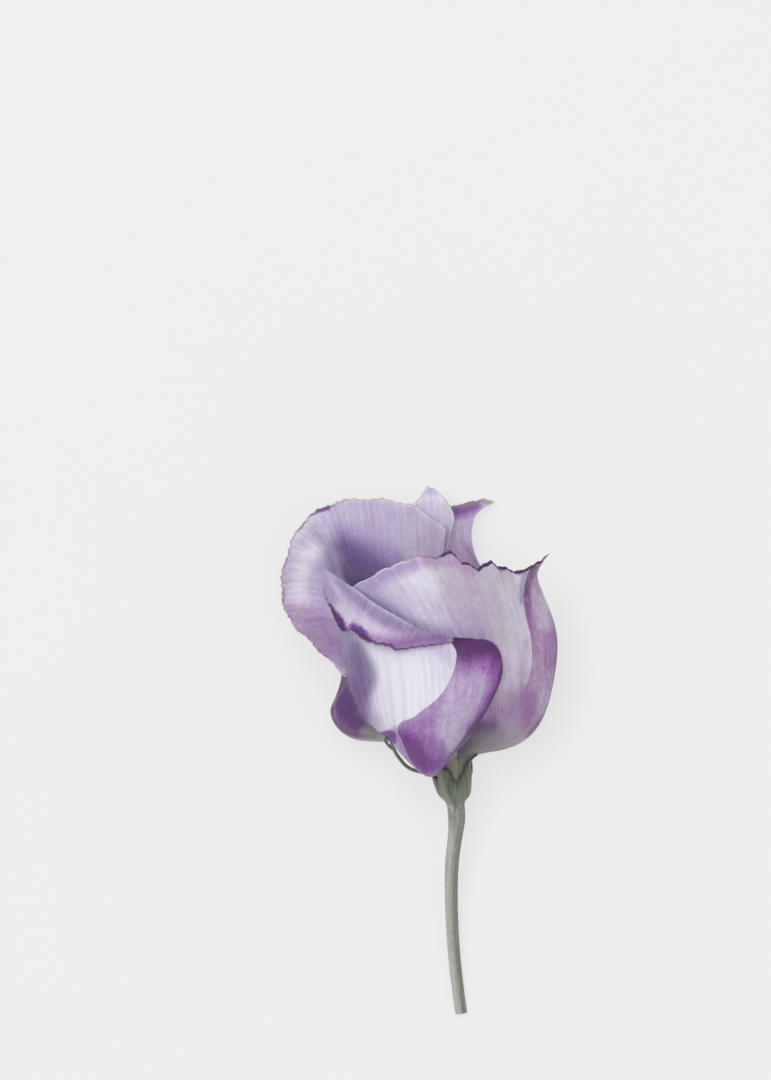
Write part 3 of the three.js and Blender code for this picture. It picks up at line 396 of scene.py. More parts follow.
        ("rose", "inner", 0.5, 4, [(20, 48, 4), (21, 30, 4)]),
    ],
    "petal_back_right": [
        ("dusk", "inner", 0.1, 6, [(2, 54, 12)]),
        ("lilac", "inner", 0.32, 6, [(2, 56, 6)]),
        ("mauve", "inner", 0.3, 4, [(3, 52, 3), (4, 58, 1)]),
        ("stain", "inner", 0.85, 2.4, [(-0.6, 60.6, 0.5), (1.6, 61, 0.6), (4, 61.9, 0.3)]),
        ("violet", "inner", 0.3, 1.4, [(0, 61, 0.5), (3, 62, 0.4)]),
        ("green", "inner", 0.75, 0.8, [(5.6, 63.2, 0.3), (7, 62.9, 0.6), (8.4, 62.3, 0.6)]),
        ("green", "inner", 0.8, 0.6, [(-0.8, 61.9, 0.4), (2, 62.4, 0.5), (4.4, 62.8, 0.5)]),
        ("mauve", "outer", 0.4, 8, [(0, 56, 5)]),
        ("rose", "outer", 0.4, 5, [(14, 28, 5)]),
    ],
    "petal_back": [
        ("lilac", "inner", 0.36, 3, [(-2, 60, 0.5), (-5, 60, 1), (-9, 61, 1)]),
        ("lilac", "inner", 0.5, 3, [(-3, 56, 0.8), (-2, 50, 1)]),
        ("mauve", "inner", 0.2, 3, [(-3, 55, 0.8), (-2, 50, 1)]),
        ("lilac", "inner", 0.5, 2, [(-4, 65.4, 0.3), (-6.4, 65.6, 0.4)]),
    ],
    "petal_left": [
        ("dusk", "inner", 0.22, 8, [(-30, 50, 12), (-10, 50, 12), (-28, 35, 10)]),
        ("lilac", "inner", 0.5, 5, [(-24, 59, 1), (-17, 59, 2), (-13, 57, 2)]),
        ("lilac", "inner", 0.34, 6, [(-10, 54, 2), (-4, 50, 2)]),
        ("mauve", "inner", 0.16, 3, [(-7, 54.4, 1), (-3, 52.4, 1)]),
        ("lilac", "inner", 0.4, 2, [(-33, 54, 0.5), (-27, 60, 0.8), (-20, 60.4, 0.8)]),
        ("lilac", "inner", 0.42, 2, [(-10.4, 60.4, 0.3), (-6, 57.6, 0.4), (-2.5, 54, 0.6)]),
        # Painted shade deep in the throat
        ("lilac", "inner", 0.8, 4.5, [
            (-25.6, 54.6, 0.3), (-22.6, 53, 1.2), (-19, 51, 2), (-15, 49, 1.6),
        ]),
        ("violet", "inner", 0.6, 3.8, [
            (-25, 53, 0.3), (-23, 50.6, 1.8), (-20.5, 48.4, 2.2), (-17, 47, 0.8),
        ]),
        ("lilac", "inner", 0.5, 1.8, [(-30.4, 55, 0.3), (-28.6, 54.4, 0.8), (-26.6, 54.2, 0.5)]),
        ("violet", "inner", 0.74, 3, [(-23, 48.6, 0.6), (-21, 45.4, 1.6), (-19.6, 43, 2)]),
        ("violet", "inner", 0.8, 1.8, [(-24, 46.8, 0.1), (-22, 44.8, 0.4)]),
        ("violet", "inner", 0.9, 2.2, [(-21.4, 44.2, 0.6), (-19.6, 43.4, 0.8)]),
        ("dusk", "inner", 0.06, 2.4, [(-28.2, 51, 0.2), (-27.4, 48.4, 0.8), (-27, 45.6, 0.2)]),
        ("lilac", "inner", 0.64, 2.2, [(-28.2, 51, 0.2), (-27.6, 48.4, 0.7), (-27.2, 45.6, 0.2)]),
        ("lilac", "inner", 0.4, 3, [(-37.4, 48, 0.3), (-38.4, 43, 0.6), (-37, 36.5, 0.8)]),
        ("mauve", "inner", 0.24, 3, [(-36, 52, 0.6), (-38.4, 45, 0.6)]),
        ("lilac", "inner", 0.5, 3, [(-29.6, 49, 0.2), (-30.4, 45, 0.8), (-30, 41, 0.8)]),
        ("mauve", "inner", 0.42, 6, [(-37, 38, 0.2), (-35, 34.6, 0.8), (-31.6, 32, 1.4), (-27, 29, 2)]),
        ("mauve", "inner", 0.46, 4.5, [(-31.6, 36.4, 0.2), (-30, 34.4, 0.8), (-28.4, 31, 1)]),
        ("violet", "inner", 0.16, 4.2, [(-31.6, 36.8, 0.1), (-30, 34.6, 0.6), (-28, 31, 1)]),
        ("dusk", "inner", 0.6, 4, [(-33.6, 38, 0.1), (-30.8, 36, 0.9), (-28.4, 31.4, 1)]),
        ("lilac", "inner", 0.36, 2.6, [(-34.4, 34.4, 0.3), (-31.6, 32, 0.6), (-29, 29.6, 0.6)]),
        ("lilac", "inner", 0.6, 2, [
            (-29.6, 41, 0.4), (-28.6, 37, 0.4), (-26.6, 31, 0.5), (-24.6, 28, 0.4),
        ]),
        ("stain", "inner", 0.95, 0.5, [(-32, 60.2, 0.5), (-30.4, 61, 0.7), (-28.2, 61.4, 0.5)]),
        ("violet", "inner", 0.45, 0.5, [(-32, 60.2, 0.3), (-28.6, 61.4, 0.3)]),
        ("stain", "inner", 0.95, 0.5, [(-34.6, 56.8, 0.4), (-33.6, 58.2, 0.4)]),
        ("edge", "inner", 0.5, 1, [(-38, 52, 2), (-26, 64, 2)]),
        ("edge", "inner", 0.56, 1, [
            (-38, 52, 2), (-39, 46, 2), (-38, 40, 2), (-34, 34, 2), (-30, 30, 1.4),
        ]),
        ("edge", "inner", 0, 1.6, [(-11, 61, 1), (-6, 58, 2), (-2, 53, 2)]),
        ("mauve", "outer", 0.7, 4, [(-25.6, 26, 0.6), (-27, 19, 1), (-26.6, 15, 0.8), (-22, 12, 0.8)]),
        # Painted shadow of the front petal's edge on the belly, with painted shade in its creases
        ("dusk", "outer", 0.9, 3, [(-24.4, 24, 0.6), (-24, 18, 1.6), (-21, 14, 1.4), (-18, 13, 0.4)]),
        ("stain", "outer", 0.46, 2.2, [(-26.6, 21, 0.5), (-26.4, 15.5, 0.9), (-23, 12.6, 0.6)]),
        ("stain", "outer", 0.56, 2, [
            (-24.6, 24, 0.3), (-24.4, 20, 1.2), (-23.6, 17, 1.4), (-21.4, 14.6, 0.8),
        ]),
        ("violet", "outer", 0.66, 1.8, [
            (-24.6, 25, 0.3), (-24.6, 20.5, 0.9), (-23.8, 17.6, 1.1), (-21.6, 15, 0.7),
        ]),
        ("plum", "outer", 0.56, 1.6, [
            (-25, 22, 0.3), (-24.8, 17.6, 1), (-24.4, 15, 0.8), (-22, 13.4, 0.4),
        ]),
        ("stain", "outer", 0.3, 0.3, [
            (-24.9, 27.4, 0.05), (-26.3, 23, 0.2), (-26.7, 18.5, 0.2), (-26.4, 16.4, 0.05),
        ]),
        ("plum", "outer", 0.5, 1.2, [(-22.9, 21.6, 0.2), (-22.6, 18, 0.6)]),
        ("plum", "outer", 0.5, 0.8, [
            (-24.4, 18.6, 0.1), (-22.6, 16, 0.3), (-20, 13.8, 0.3), (-18, 12.8, 0.1),
        ]),
        ("plum", "outer", 0.6, 0.5, [
            (-27.2, 19, 0.1), (-27.3, 15.6, 0.3), (-25.6, 13.2, 0.3), (-22, 11.9, 0.3),
            (-18, 11.4, 0.2),
        ]),
        ("green", "outer", 0.7, 2, [(-8, 9, 3), (-16, 11.6, 1.2), (-19, 12.2, 0.7)]),
        ("mauve", "outer", 0.3, 9, [(-10, 44, 14)]),
    ],
}

# Amounts of the base wash and of the darker rim line on both faces of every petal
LILAC_BASE = 0.1
EDGE_BASE = 0.22
# The claws are green up to the first length in mm along the blade and lose it by the second
GREEN_CLAW = (6.5, 9.5)

# The channels of the petals' paint. The border's one goes from 0 to 1 over BORDER_REACH, along a line with
# BORDER_POINTS to each of its own, and the band starts between the values of BORDER_STEP, which the grain
# moves by BORDER_GRAIN.
CHANNELS = (
    "border", "dusk", "lilac", "mauve", "rose", "purple", "stain", "plum", "violet", "green", "edge",
)
BORDER_REACH = 6.0
BORDER_POINTS = 4
BORDER_STEP = (0.485, 0.525)
BORDER_GRAIN = 0.012

# How much the grain breaks up the soft edge of each wash, and by how much more everywhere
BREAK_UP = {
    "dusk": 0.36, "lilac": 0.36, "mauve": 0.4, "rose": 0.7, "purple": 0.46, "stain": 0.5, "plum": 0.25,
    "violet": 0.2, "green": 0.2,
}
EVEN_BREAK_UP = 0.12

# Noises on a petal. The first three numbers are the scale across and along the blade, to the mm, and a
# place of the noise's own. The others are its detail, roughness and distortion. The mottle's scale is to
# the metre.
FINE_VEINS = (2.2, 0.11, 0.0), (3.0, 0.6, 0.0)
BROAD_VEINS = (0.4, 0.04, 7.0), (2.0, 0.5, 0.0)
VEIN_WEB = (0.75, 0.3, 3.0), (2.0, 0.55, 0.8)
SOFT_FOLDS = (0.95, 0.04, 11.0), (3.0, 0.6, 0.0)
RIM_CRINKLES = (0.8, 0.12, 21.0), (2.0, 0.5, 0.0)
PETAL_MOTTLE = 800.0, (3.0, 0.6, 0.4)

# How these noises are summed: fine and broad veins into streaks, streaks and mottle into grain, broad veins
# and mottle into the wander of the rim line, and all of them into the relief of the skin
STREAK = (1.3, 0.8)
GRAIN = (0.7, 0.7)
LINE_WANDER = (0.9, 0.5)
RELIEF = {"fine": 0.6, "broad": 0.3, "mottle": 0.12, "fold": 0.8, "crinkle": 2.6}

# The dark veins in the purple: their width in the web, their share and how much the grain breaks them up
VEIN_WIDTH = 0.045
VEIN_SHARE = 0.42
VEIN_BREAK_UP = 0.2

# At the rim, in mm: where the lilac sets in and how much of it the outermost part lacks, which is a painted
# highlight along the thin edge, the dark line's reach for each unit of edge and its soft side, and where
# the crinkles fade
RIM_HIGHLIGHT = (0.2, 0.6)
RIM_HIGHLIGHT_SHARE = 0.8
LINE_REACH = 0.58
LINE_SOFTNESS = 0.3
CRINKLED_RIM = (0.4, 4.5)

# Shade in the fine veins and in the soft folds, as share and tint, and the depth of the skin's relief in
# metres
VEIN_SHADE = (0.22, (0.1, 0.06, 0.14))
FOLD_SHADE = (0.16, (0.42, 0.34, 0.56))
FOLD_STEP = (0.36, 0.6)
PETAL_DEPTH = 0.00012

# A plant's skin: scale of the streaks along it to the mm and of its mottle to the metre, their shares in
# its shade and in its relief, the mottle's share in where one pair of colours turns into the other, and
# the depth of the relief in metres
PLANT_STREAK = 0.12
PLANT_MOTTLE = 1400.0
PLANT_SHADE = (1.5, 0.6)
PLANT_RELIEF = (0.6, 0.4)
PLANT_TURN = 0.5
PLANT_DEPTH = 0.0001

# The stem's centre line from just under the calyx to the cut, as x, y, z and radius
STEM_TOP = -5
STEM = [
    (-0.08, -6.4, 14.05, 1.86), (-0.3, -9.5, 12.9, 1.64), (-1, -15.5, 10.5, 1.5), (-1.2, -22.8, 7.7, 1.42),
    (-0.95, -30.6, 5.05, 1.36), (-0.2, -39.8, 2.7, 1.32), (1, -49, 1.28, 1.28),
]
STEM_TOP_RADIUS = 1.9
STEM_INTO_CALYX = 0.6
STEM_STEPS = 160
STEM_SIDES = 48
STEM_RIDGES = 5
STEM_RIDGE = 0.035
# Its painted shade: at the top, middling and growing to the right, and from there a painted light and
# shade across it, lit on the left and shaded on the right: mean, depth, turns. FREE is where that sets in,
# in mm from the top. CALYX_SHARE is how much of the calyx's colour the top has, and BLEND is where the last
# of it is gone. AROUND and STREAKS set how fine its streaks are.
STEM_TOP_SHADE = (0.4, 0.23)
STEM_LIGHT_AND_SHADE = (0.55, 0.45, 2.4)
STEM_FREE = (1.5, 8)
STEM_BLEND = 10
STEM_CALYX_SHARE = 0.5
STEM_AROUND = 3
STEM_STREAKS = 1.2

# Calyx: a cup of five sepals that are free above its mouth, as height along the axis and radius there. It
# leans to the left by CUP_LEAN, which grows between the heights of CUP_LEANS, and each sepal's keel rises
# between those of KEEL_RISE.
SEAT_GAP = 0.36
CUP_OUTSIDE = [(STEM_TOP - 0.2, 1.84), (-4.2, 1.96), (-3.4, 2.14), (-2.5, 2.7), (-1.5, 3.36), (0.2, 3.8),
               (2.7, 4.2)]
CUP_INSIDE = [(-SEAT_GAP, 3.35), (0.9, 3.55), (2.7, 3.8)]
CUP_LEAN = 0.35
CUP_LEANS = (-2.5, 3)
CUP_STEPS = 24
CUP_INSIDE_STEPS = 8
KEEL_RISE = (-3.2, -1.6)
KEEL_POWER = 1.3

# Shade of the calyx: from low on the cup to its mouth, with the heights between which it grows; in a furrow
# between two sepals; from a sepal's start, and more at its tip; inside; and at the foot, where the stem's
# colour comes in between two heights and the shade grows to the right
CUP_SHADE = (0.2, 0.3)
CUP_SHADING = (-3, 2.7)
FURROW_SHADE = 0.6
FURROW_HEIGHTS = (0, 2.7)
SEPAL_SHADE = 0.5
TIP_SHADE = 0.6
INSIDE_SHADE = 0.3
FOOT_HEIGHTS = (-4.2, -2.6)
FOOT_SHADE = (0.2, 0.12)
FOOT_STEM_SHARE = 0.62
CALYX_AROUND = 1.3
CALYX_STREAKS = 1.6
# A painted highlight along the keel of the left sepal as it runs down into the stem, as y and x, and
# painted shade in the groove on its right, which grows between the two values of y
KEEL_HIGHLIGHT_LINE = [(-6.4, -1.2), (-3.3, -1.6), (0, -3), (2.8, -3.7)]
KEEL_HIGHLIGHT = 0.6
KEEL_HIGHLIGHT_WIDTH = 0.65
GROOVE_AWAY = 1.1
GROOVE_SHADE = 0.4
GROOVE_WIDTH = 0.5
GROOVE_GROWS = (4, -2)

SEPAL_COLUMNS = 14
SEPAL_ANGLE = 72
SEPAL_STEP = 0.35
SEPAL_THICKNESS = 0.55
SEPAL_MARGIN = 0.25
SEPAL_TIP_WIDTH = 0.72
SEPAL_TAPER_POWER = 0.55
SEPAL_KEEL = 0.4
SEPAL_LIFT = 1.7
SEPAL_SPLAY = 0.3

# Each sepal as its azimuth, the length in mm by which it has narrowed to a thread, and its tip's points
SEPALS = [
    (-23, 8, [
        (-6.3, 3.8, 22), (-8.6, 3.9, 20.9), (-9.9, 4.3, 20.7), (-11, 5, 21.2), (-12.1, 6.2, 22.8),
        (-12.9, 7.3, 25.4), (-13.6, 8.6, 29.6), (-14.1, 10, 34.6), (-14.4, 11.1, 37.6),
        (-14.9, 11.5, 38), (-15.5, 11, 37), (-15.4, 10.1, 34.6), (-14.8, 9.3, 31.4), (-14.1, 8.7, 28.6),
    ]),
    (49, 5.8, [(2.75, 5.2, 22.2), (3.1, 6.3, 22.9), (3.75, 7, 23.3), (4.4, 7.45, 23.6)]),
    (121, 8, [(2.6, 7, 11.2), (3, 9.2, 7.4), (3.6, 11.2, 3.8)]),
    (193, 8, [(-1.6, 6.6, 8.7), (-1.6, 8.8, 5.4), (-1.6, 10.8, 2.6)]),
    (265, 14, [(-6.6, 6.6, 15.6), (-8.5, 8.6, 11.6), (-10.6, 10.6, 7.6)]),
]

# The fused foot of the corolla, inside the claws, as height and radius
TUBE_OUTSIDE = [(-0.2, 2.38), (2.5, 2.38), (5.5, 2.4), (7.5, 2.62), (9, 3.05), (10.4, 3.6)]
TUBE_THICKNESS = 0.16
TUBE_STEPS = 24
TUBE_SIDES = 72
# Its shade at the foot and how much that changes with each mm of height
TUBE_SHADE = (0.5, -0.05)
TUBE_AROUND = 12
TUBE_STREAKS = 1.5

# Pistil: ovary and style as height and radius, the two lobes of the stigma as distance, height and radius
PISTIL = [(0, 0.85), (1, 1.02), (3, 1.12), (6, 1.1), (8.5, 0.85), (9.6, 0.5), (12.6, 0.45), (13.4, 0.6)]
STIGMA_LOBE = [(0, 13.1, 0.7), (0.5, 13.9, 0.75), (1.3, 14.6, 0.75), (2.2, 14.7, 0.45)]
PISTIL_STEPS = 60
PISTIL_SIDES = 36
PISTIL_GROOVE = (0.05, 6)
LOBE_STEPS = 16
LOBE_SIDES = 20
PISTIL_GRAIN = 2500.0

# Stamens: filaments on a ring round the foot of the ovary, as height and distance, each with an anther
STAMEN_COUNT = 5
STAMEN_RING = [(0, 1.45), (0, 1.95), (0.9, 1.95), (0.9, 1.45)]
FILAMENT = [(0.5, 1.7), (2.5, 1.76), (5.5, 1.76), (8.5, 2.05), (11, 2.9)]
FILAMENT_RADIUS = 0.28
ANTHER_HEIGHT = 11.4
ANTHER_DISTANCE = 3
ANTHER_SIZE = (0.75, 0.6, 1.6)
ANTHER_FURROW = (0.3, 8)
ANTHER_POWER = 0.6
ANTHER_STEPS = 20
ANTHER_SIDES = 24
FIRST_STAMEN = 48
RING_SIDES = 40
FILAMENT_STEPS = 30
FILAMENT_SIDES = 14
STAMEN_GRAIN = 4200.0

# Shade in the grain of the pistil and the stamens, as share and tint, and the depth of it in metres
HEART_SHADE = (0.35, (0.45, 0.45, 0.35))
HEART_STEP = (0.3, 0.7)
HEART_DEPTH = 0.00015

# Floor and lights in metres. A light is its size, its place and the setting that holds its power.
FLOOR_SIZE = 12
FLOOR_GRAIN = 30.0
FLOOR_SHADE = 0.985
LIGHTS = {
    "key light": (1.2, (-0.4, 0.4, 2.5), "key"),
    "fill light": (2.0, (1.0, -0.6, 2.5), "fill"),
}
LIT_PLACE = (0, 0.01, 0.02)

# The view is straight down, over this point of the layout, and takes in this height of it. VIEW_CLIP is in
# metres.
VIEW_CENTRE = (-15.5, 54.25)
VIEW_HEIGHT = 234.4
VIEW_DISTANCE = 4000
VIEW_PLANE = 25
VIEW_CLIP = (0.1, 50)
SENSOR = 36


def tone(code):
    """The linear colour of a six-digit hexadecimal one."""
    parts = [int(code[i:i + 2], 16) / 255 for i in (0, 2, 4)]
    return tuple(part / 12.92 if part <= 0.04045 else ((part + 0.055) / 1.055) ** 2.4 for part in parts)


def spline(knots, rows, places):
    """Natural cubic spline through the rows at their knots, read at the places."""
    knots = np.asarray(knots, float)
    rows = np.asarray(rows, float)
    places = np.asarray(places, float)
    count = len(knots)
    gaps = np.diff(knots)
    system = np.eye(count)
    target = np.zeros_like(rows)
    for i in range(1, count - 1):
        system[i, i - 1:i + 2] = (gaps[i - 1], 2 * (gaps[i - 1] + gaps[i]), gaps[i])
        target[i] = 6 * ((rows[i + 1] - rows[i]) / gaps[i] - (rows[i] - rows[i - 1]) / gaps[i - 1])
    bend = np.linalg.solve(system, target.reshape(count, -1)).reshape(rows.shape)
    i = np.clip(np.searchsorted(knots, places, side="right") - 1, 0, count - 2)
    shape = (-1,) + (1,) * (rows.ndim - 1)
    span = gaps[i].reshape(shape)
    a = (knots[i + 1] - places).reshape(shape) / span
    b = 1 - a
    soft = span ** 2 / 6
    return a * rows[i] + b * rows[i + 1] + soft * ((a ** 3 - a) * bend[i] + (b ** 3 - b) * bend[i + 1])


def mean_knots(lines):
    """Knots from 0 to 1 in step with the mean distance between neighbouring lines of a net of points."""
    steps = np.linalg.norm(np.diff(lines, axis=0), axis=-1)
    knots = np.concatenate([[0], np.cumsum(steps.reshape(len(steps), -1).mean(axis=1))])
    return knots / knots[-1]


def smooth_line(points, count):
    """Points along a smooth curve through the given ones."""
    points = np.asarray(points, float)
    return spline(mean_knots(points[:, None, :3]), points, np.linspace(0, 1, count))


def smoothstep(value, low=0.0, high=1.0):
    """0 at low, 1 at high and smooth between them."""
    share = np.clip((value - low) / (high - low), 0, 1)
    return share * share * (3 - 2 * share)


def unit(vectors):
    """The vectors at length 1."""
    return vectors / np.maximum(np.linalg.norm(vectors, axis=-1, keepdims=True), 1e-12)


def around_axis(height, distance, azimuth):
    """A place at a height along the bloom's axis, a distance from it and an azimuth round it in degrees."""
    height, distance, azimuth = np.broadcast_arrays(height, distance, azimuth)
    angle = np.radians(azimuth)
    return (AXIS_FOOT + height[..., None] * AXIS
            + (distance * np.sin(angle))[..., None] * SIDE
            + (distance * np.cos(angle))[..., None] * FACE)


def turn(sides):
    """So many azimuths in degrees, evenly round the bloom's axis."""
    return 360 * np.arange(sides) / sides


def turned_rings(profile, azimuths, share=1.0):
    """Rings round the bloom's axis, from heights and radii."""
    return np.array([around_axis(height, radius * share, azimuths) for height, radius in profile])


def petal_net(petal):
    """The petal's ribs with the points of its claw put before them."""
    net = []
    count = len(petal["ribs"])
    for number, rib in enumerate(petal["ribs"]):
        share = number / (count - 1)
        azimuth = petal["claw"][0] + share * (petal["claw"][1] - petal["claw"][0])
        radius = petal["mouth"][0] + share * (petal["mouth"][1] - petal["mouth"][0])
        middle = CLAW_RADIUS + CLAW_SPREAD * (radius - CLAW_RADIUS)
        claw = around_axis(
            np.array([0, MOUTH_HEIGHT / 2, MOUTH_HEIGHT]), np.array([CLAW_RADIUS, middle, radius]), azimuth)
        net.append([*claw, *rib])
    return np.array(net, float)


def petal_grid(net, columns, rows):
    """The smooth middle surface of a petal, from its first rib to its last and from claw to rim."""
    lines = spline(mean_knots(net), net, np.linspace(0, 1, columns))
    along = spline(mean_knots(net.swapaxes(0, 1)), lines.swapaxes(0, 1), np.linspace(0, 1, rows))
    return along.swapaxes(0, 1)


def directions(grid):
    """The way up the blade and the way out of it at each point of a grid."""
    up = unit(np.gradient(grid, axis=1))
    out = unit(np.cross(unit(np.gradient(grid, axis=0)), up))
    return up, out


def ripple(places, count):
    """An uneven wave between about -1 and 1 that comes back count times."""
    phase = 2 * np.pi * count * places
    return sum(size * np.sin(rate * phase + lag) for size, rate, lag in RIPPLES)


def rim_shift(rim, trace):
    """How far each rim point moves, seen from above, so that the rim runs through the traced points."""
    if not trace:
        return np.zeros_like(rim)
    trace = np.array(trace)
    nearest = np.array([np.argmin(np.linalg.norm(rim[:, :2] - point, axis=1)) for point in trace])
    order = np.argsort(nearest, kind="stable")
    shift = (trace - rim[nearest, :2])[order]
    numbers = np.arange(len(rim))
    moved = [np.interp(numbers, nearest[order], shift[:, axis]) for axis in (0, 1)]
    return np.column_stack([*moved, np.zeros(len(rim))])


def line_distance(points, places):
    """For each place, seen from above: how far it is from a line, on which side, and where along it."""
    best = np.full(len(places), np.inf)
    side = np.zeros(len(places))
    where = np.zeros(len(places))
    for number in range(len(points) - 1):
        start = points[number]
        step = points[number + 1] - start
        away = places - start
        share = np.clip(away @ step / (step @ step), 0, 1)
        distance = np.linalg.norm(away - share[:, None] * step, axis=1)
        nearer = distance < best
        best = np.where(nearer, distance, best)
        side = np.where(nearer, np.sign(step[0] * away[:, 1] - step[1] * away[:, 0]), side)
        where = np.where(nearer, number + share, where)
    return best, side, where


def painted(name, face, places):
    """The petal's colour channels at places of one of its faces."""
    count = len(places)
    channels = {channel: np.zeros(count) for channel in CHANNELS}
    channels["lilac"] += LILAC_BASE
    channels["edge"] += EDGE_BASE
    channels["border"] += 1
    for channel, side_named, amount, softness, line in PAINT[name]:
        if side_named != face:
            continue
        line = np.array(line, float)
        if channel == "border":
            distance, side, _ = line_distance(smooth_line(line, BORDER_POINTS * len(line)), places[:, :2])
            channels["border"] = np.clip(0.5 + distance * side / BORDER_REACH, 0, 1)
            continue
        if len(line) == 1:
            distance = np.linalg.norm(places[:, :2] - line[0, :2], axis=1)
            radius = line[0, 2]
        else:
            distance, _, where = line_distance(line[:, :2], places[:, :2])
            radius = np.interp(where, np.arange(len(line)), line[:, 2])
        cover = 1 - smoothstep(distance, radius, radius + softness)
        channels[channel] += (amount - channels[channel]) * cover
    return channels


def mesh_object(name, vertices, faces, values):
    """A smooth mesh object in the frame's metres from layout millimetres, with its point values."""
    mesh = bpy.data.meshes.new(name)
    mesh.from_pydata(((np.asarray(vertices) - FOOTPRINT) * MM).tolist(), [], faces)
    mesh.validate()
    mesh.shade_smooth()
    for label, numbers in values.items():
        layer = mesh.attributes.new(label, "FLOAT", "POINT")
        layer.data.foreach_set("value", np.asarray(numbers, np.float32))
    piece = bpy.data.objects.new(name, mesh)
    bpy.context.scene.collection.objects.link(piece)
    return piece


def settle(piece, node, finish):
    """Gives a piece its finish and lets it stand for its CAD node."""
    piece.data.materials.append(finish)
    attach(piece, "root")
    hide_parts(node)


class Wire:
    """A number worked out in a shader, so that sums on it can be written as sums."""

    def __init__(self, finish, socket):
        self.finish = finish
        self.socket = socket

    def math(self, operation, *values, clamp=False):
        settings = {"operation": operation, "use_clamp": clamp}
        return self.finish.node("ShaderNodeMath", settings, dict(enumerate(values)))

    def __add__(self, other):
        return self.math("ADD", self, other)

    __radd__ = __add__

    def __sub__(self, other):
        return self.math("SUBTRACT", self, other)

    def __rsub__(self, other):
        return self.math("SUBTRACT", other, self)

    def __mul__(self, other):
        return self.math("MULTIPLY", self, other)

    __rmul__ = __mul__

    def clamped(self):
        return self.math("ADD", self, 0.0, clamp=True)

    def absolute(self):
        return self.math("ABSOLUTE", self)

    def step(self, low, high):
        """0 below low, 1 above high and smooth between them."""
        settings = {"interpolation_type": "SMOOTHSTEP"}
        sockets = {"Value": self, "From Min": low, "From Max": high, "To Min": 0.0, "To Max": 1.0}
        return self.finish.node("ShaderNodeMapRange", settings, sockets)


class Finish:
    """A material that is being made."""

    def __init__(self, name):
        self.material = bpy.data.materials.new(name)
        self.material.use_nodes = True
        self.tree = self.material.node_tree
        self.tree.nodes.clear()

    def node(self, kind, settings=None, sockets=None, output=0):
        """Adds a node: its settings first, then a value or a link for each socket named or numbered."""
        made = self.tree.nodes.new(kind)
        for key, value in (settings or {}).items():
            setattr(made, key, value)
        for key, value in (sockets or {}).items():
            if isinstance(value, Wire):
                self.tree.links.new(value.socket, made.inputs[key])
            else:
                made.inputs[key].default_value = value
        return Wire(self, made.outputs[output])

    def value(self, label):
        """A number that the mesh holds at its points."""
        return self.node("ShaderNodeAttribute", {"attribute_name": label}, output="Fac")

    def mix(self, share, first, second, blend="MIX"):
        """Two colours mixed by a share."""
        colours = {6: first, 7: second}
        for key, colour in colours.items():
            if not isinstance(colour, Wire):
                colours[key] = (*colour, 1.0)
        settings = {"data_type": "RGBA", "blend_type": blend, "clamp_factor": True}
        return self.node("ShaderNodeMix", settings, {0: share, **colours}, output=2)

    def tinted(self, colour, light, share, tint):
        """A colour multiplied by a share of a tint where the light is 0, and as it is where that is 1."""
        return self.mix(share, colour, self.mix(light, tint, WHITE), "MULTIPLY")

    def noise(self, place, detail=2.0, roughness=0.5, distortion=0.0):
        """A noise between 0 and 1, read at a place."""
        sockets = {
            "Vector": place, "Scale": 1.0, "Detail": detail, "Roughness": roughness,
            "Distortion": distortion,
        }
        return self.node("ShaderNodeTexNoise", {"noise_dimensions": "3D"}, sockets)

    def place(self, x, y, z):
        """A place from three numbers."""
        return self.node("ShaderNodeCombineXYZ", None, {"X": x, "Y": y, "Z": z})

    def solid_place(self, per_metre):
        """The place in the object, so many noise cells to the metre."""
        spot = self.node("ShaderNodeTexCoord", output="Object")
        settings = {"operation": "SCALE"}
        return self.node("ShaderNodeVectorMath", settings, {0: spot, "Scale": per_metre})

    def bump(self, height, depth, strength):
        """A normal from a relief of so many metres."""
        sockets = {"Height": height, "Distance": depth, "Strength": strength}
        return self.node("ShaderNodeBump", None, sockets)

    def finish(self, constants, links):
        """Ends the material in a Principled BSDF."""
        made = self.tree.nodes.new("ShaderNodeBsdfPrincipled")
        for key, value in constants.items():
            made.inputs[key].default_value = value
        for key, wire in links.items():
            self.tree.links.new(wire.socket, made.inputs[key])
        end = self.tree.nodes.new("ShaderNodeOutputMaterial")
        self.tree.links.new(made.outputs["BSDF"], end.inputs["Surface"])
        return self.material


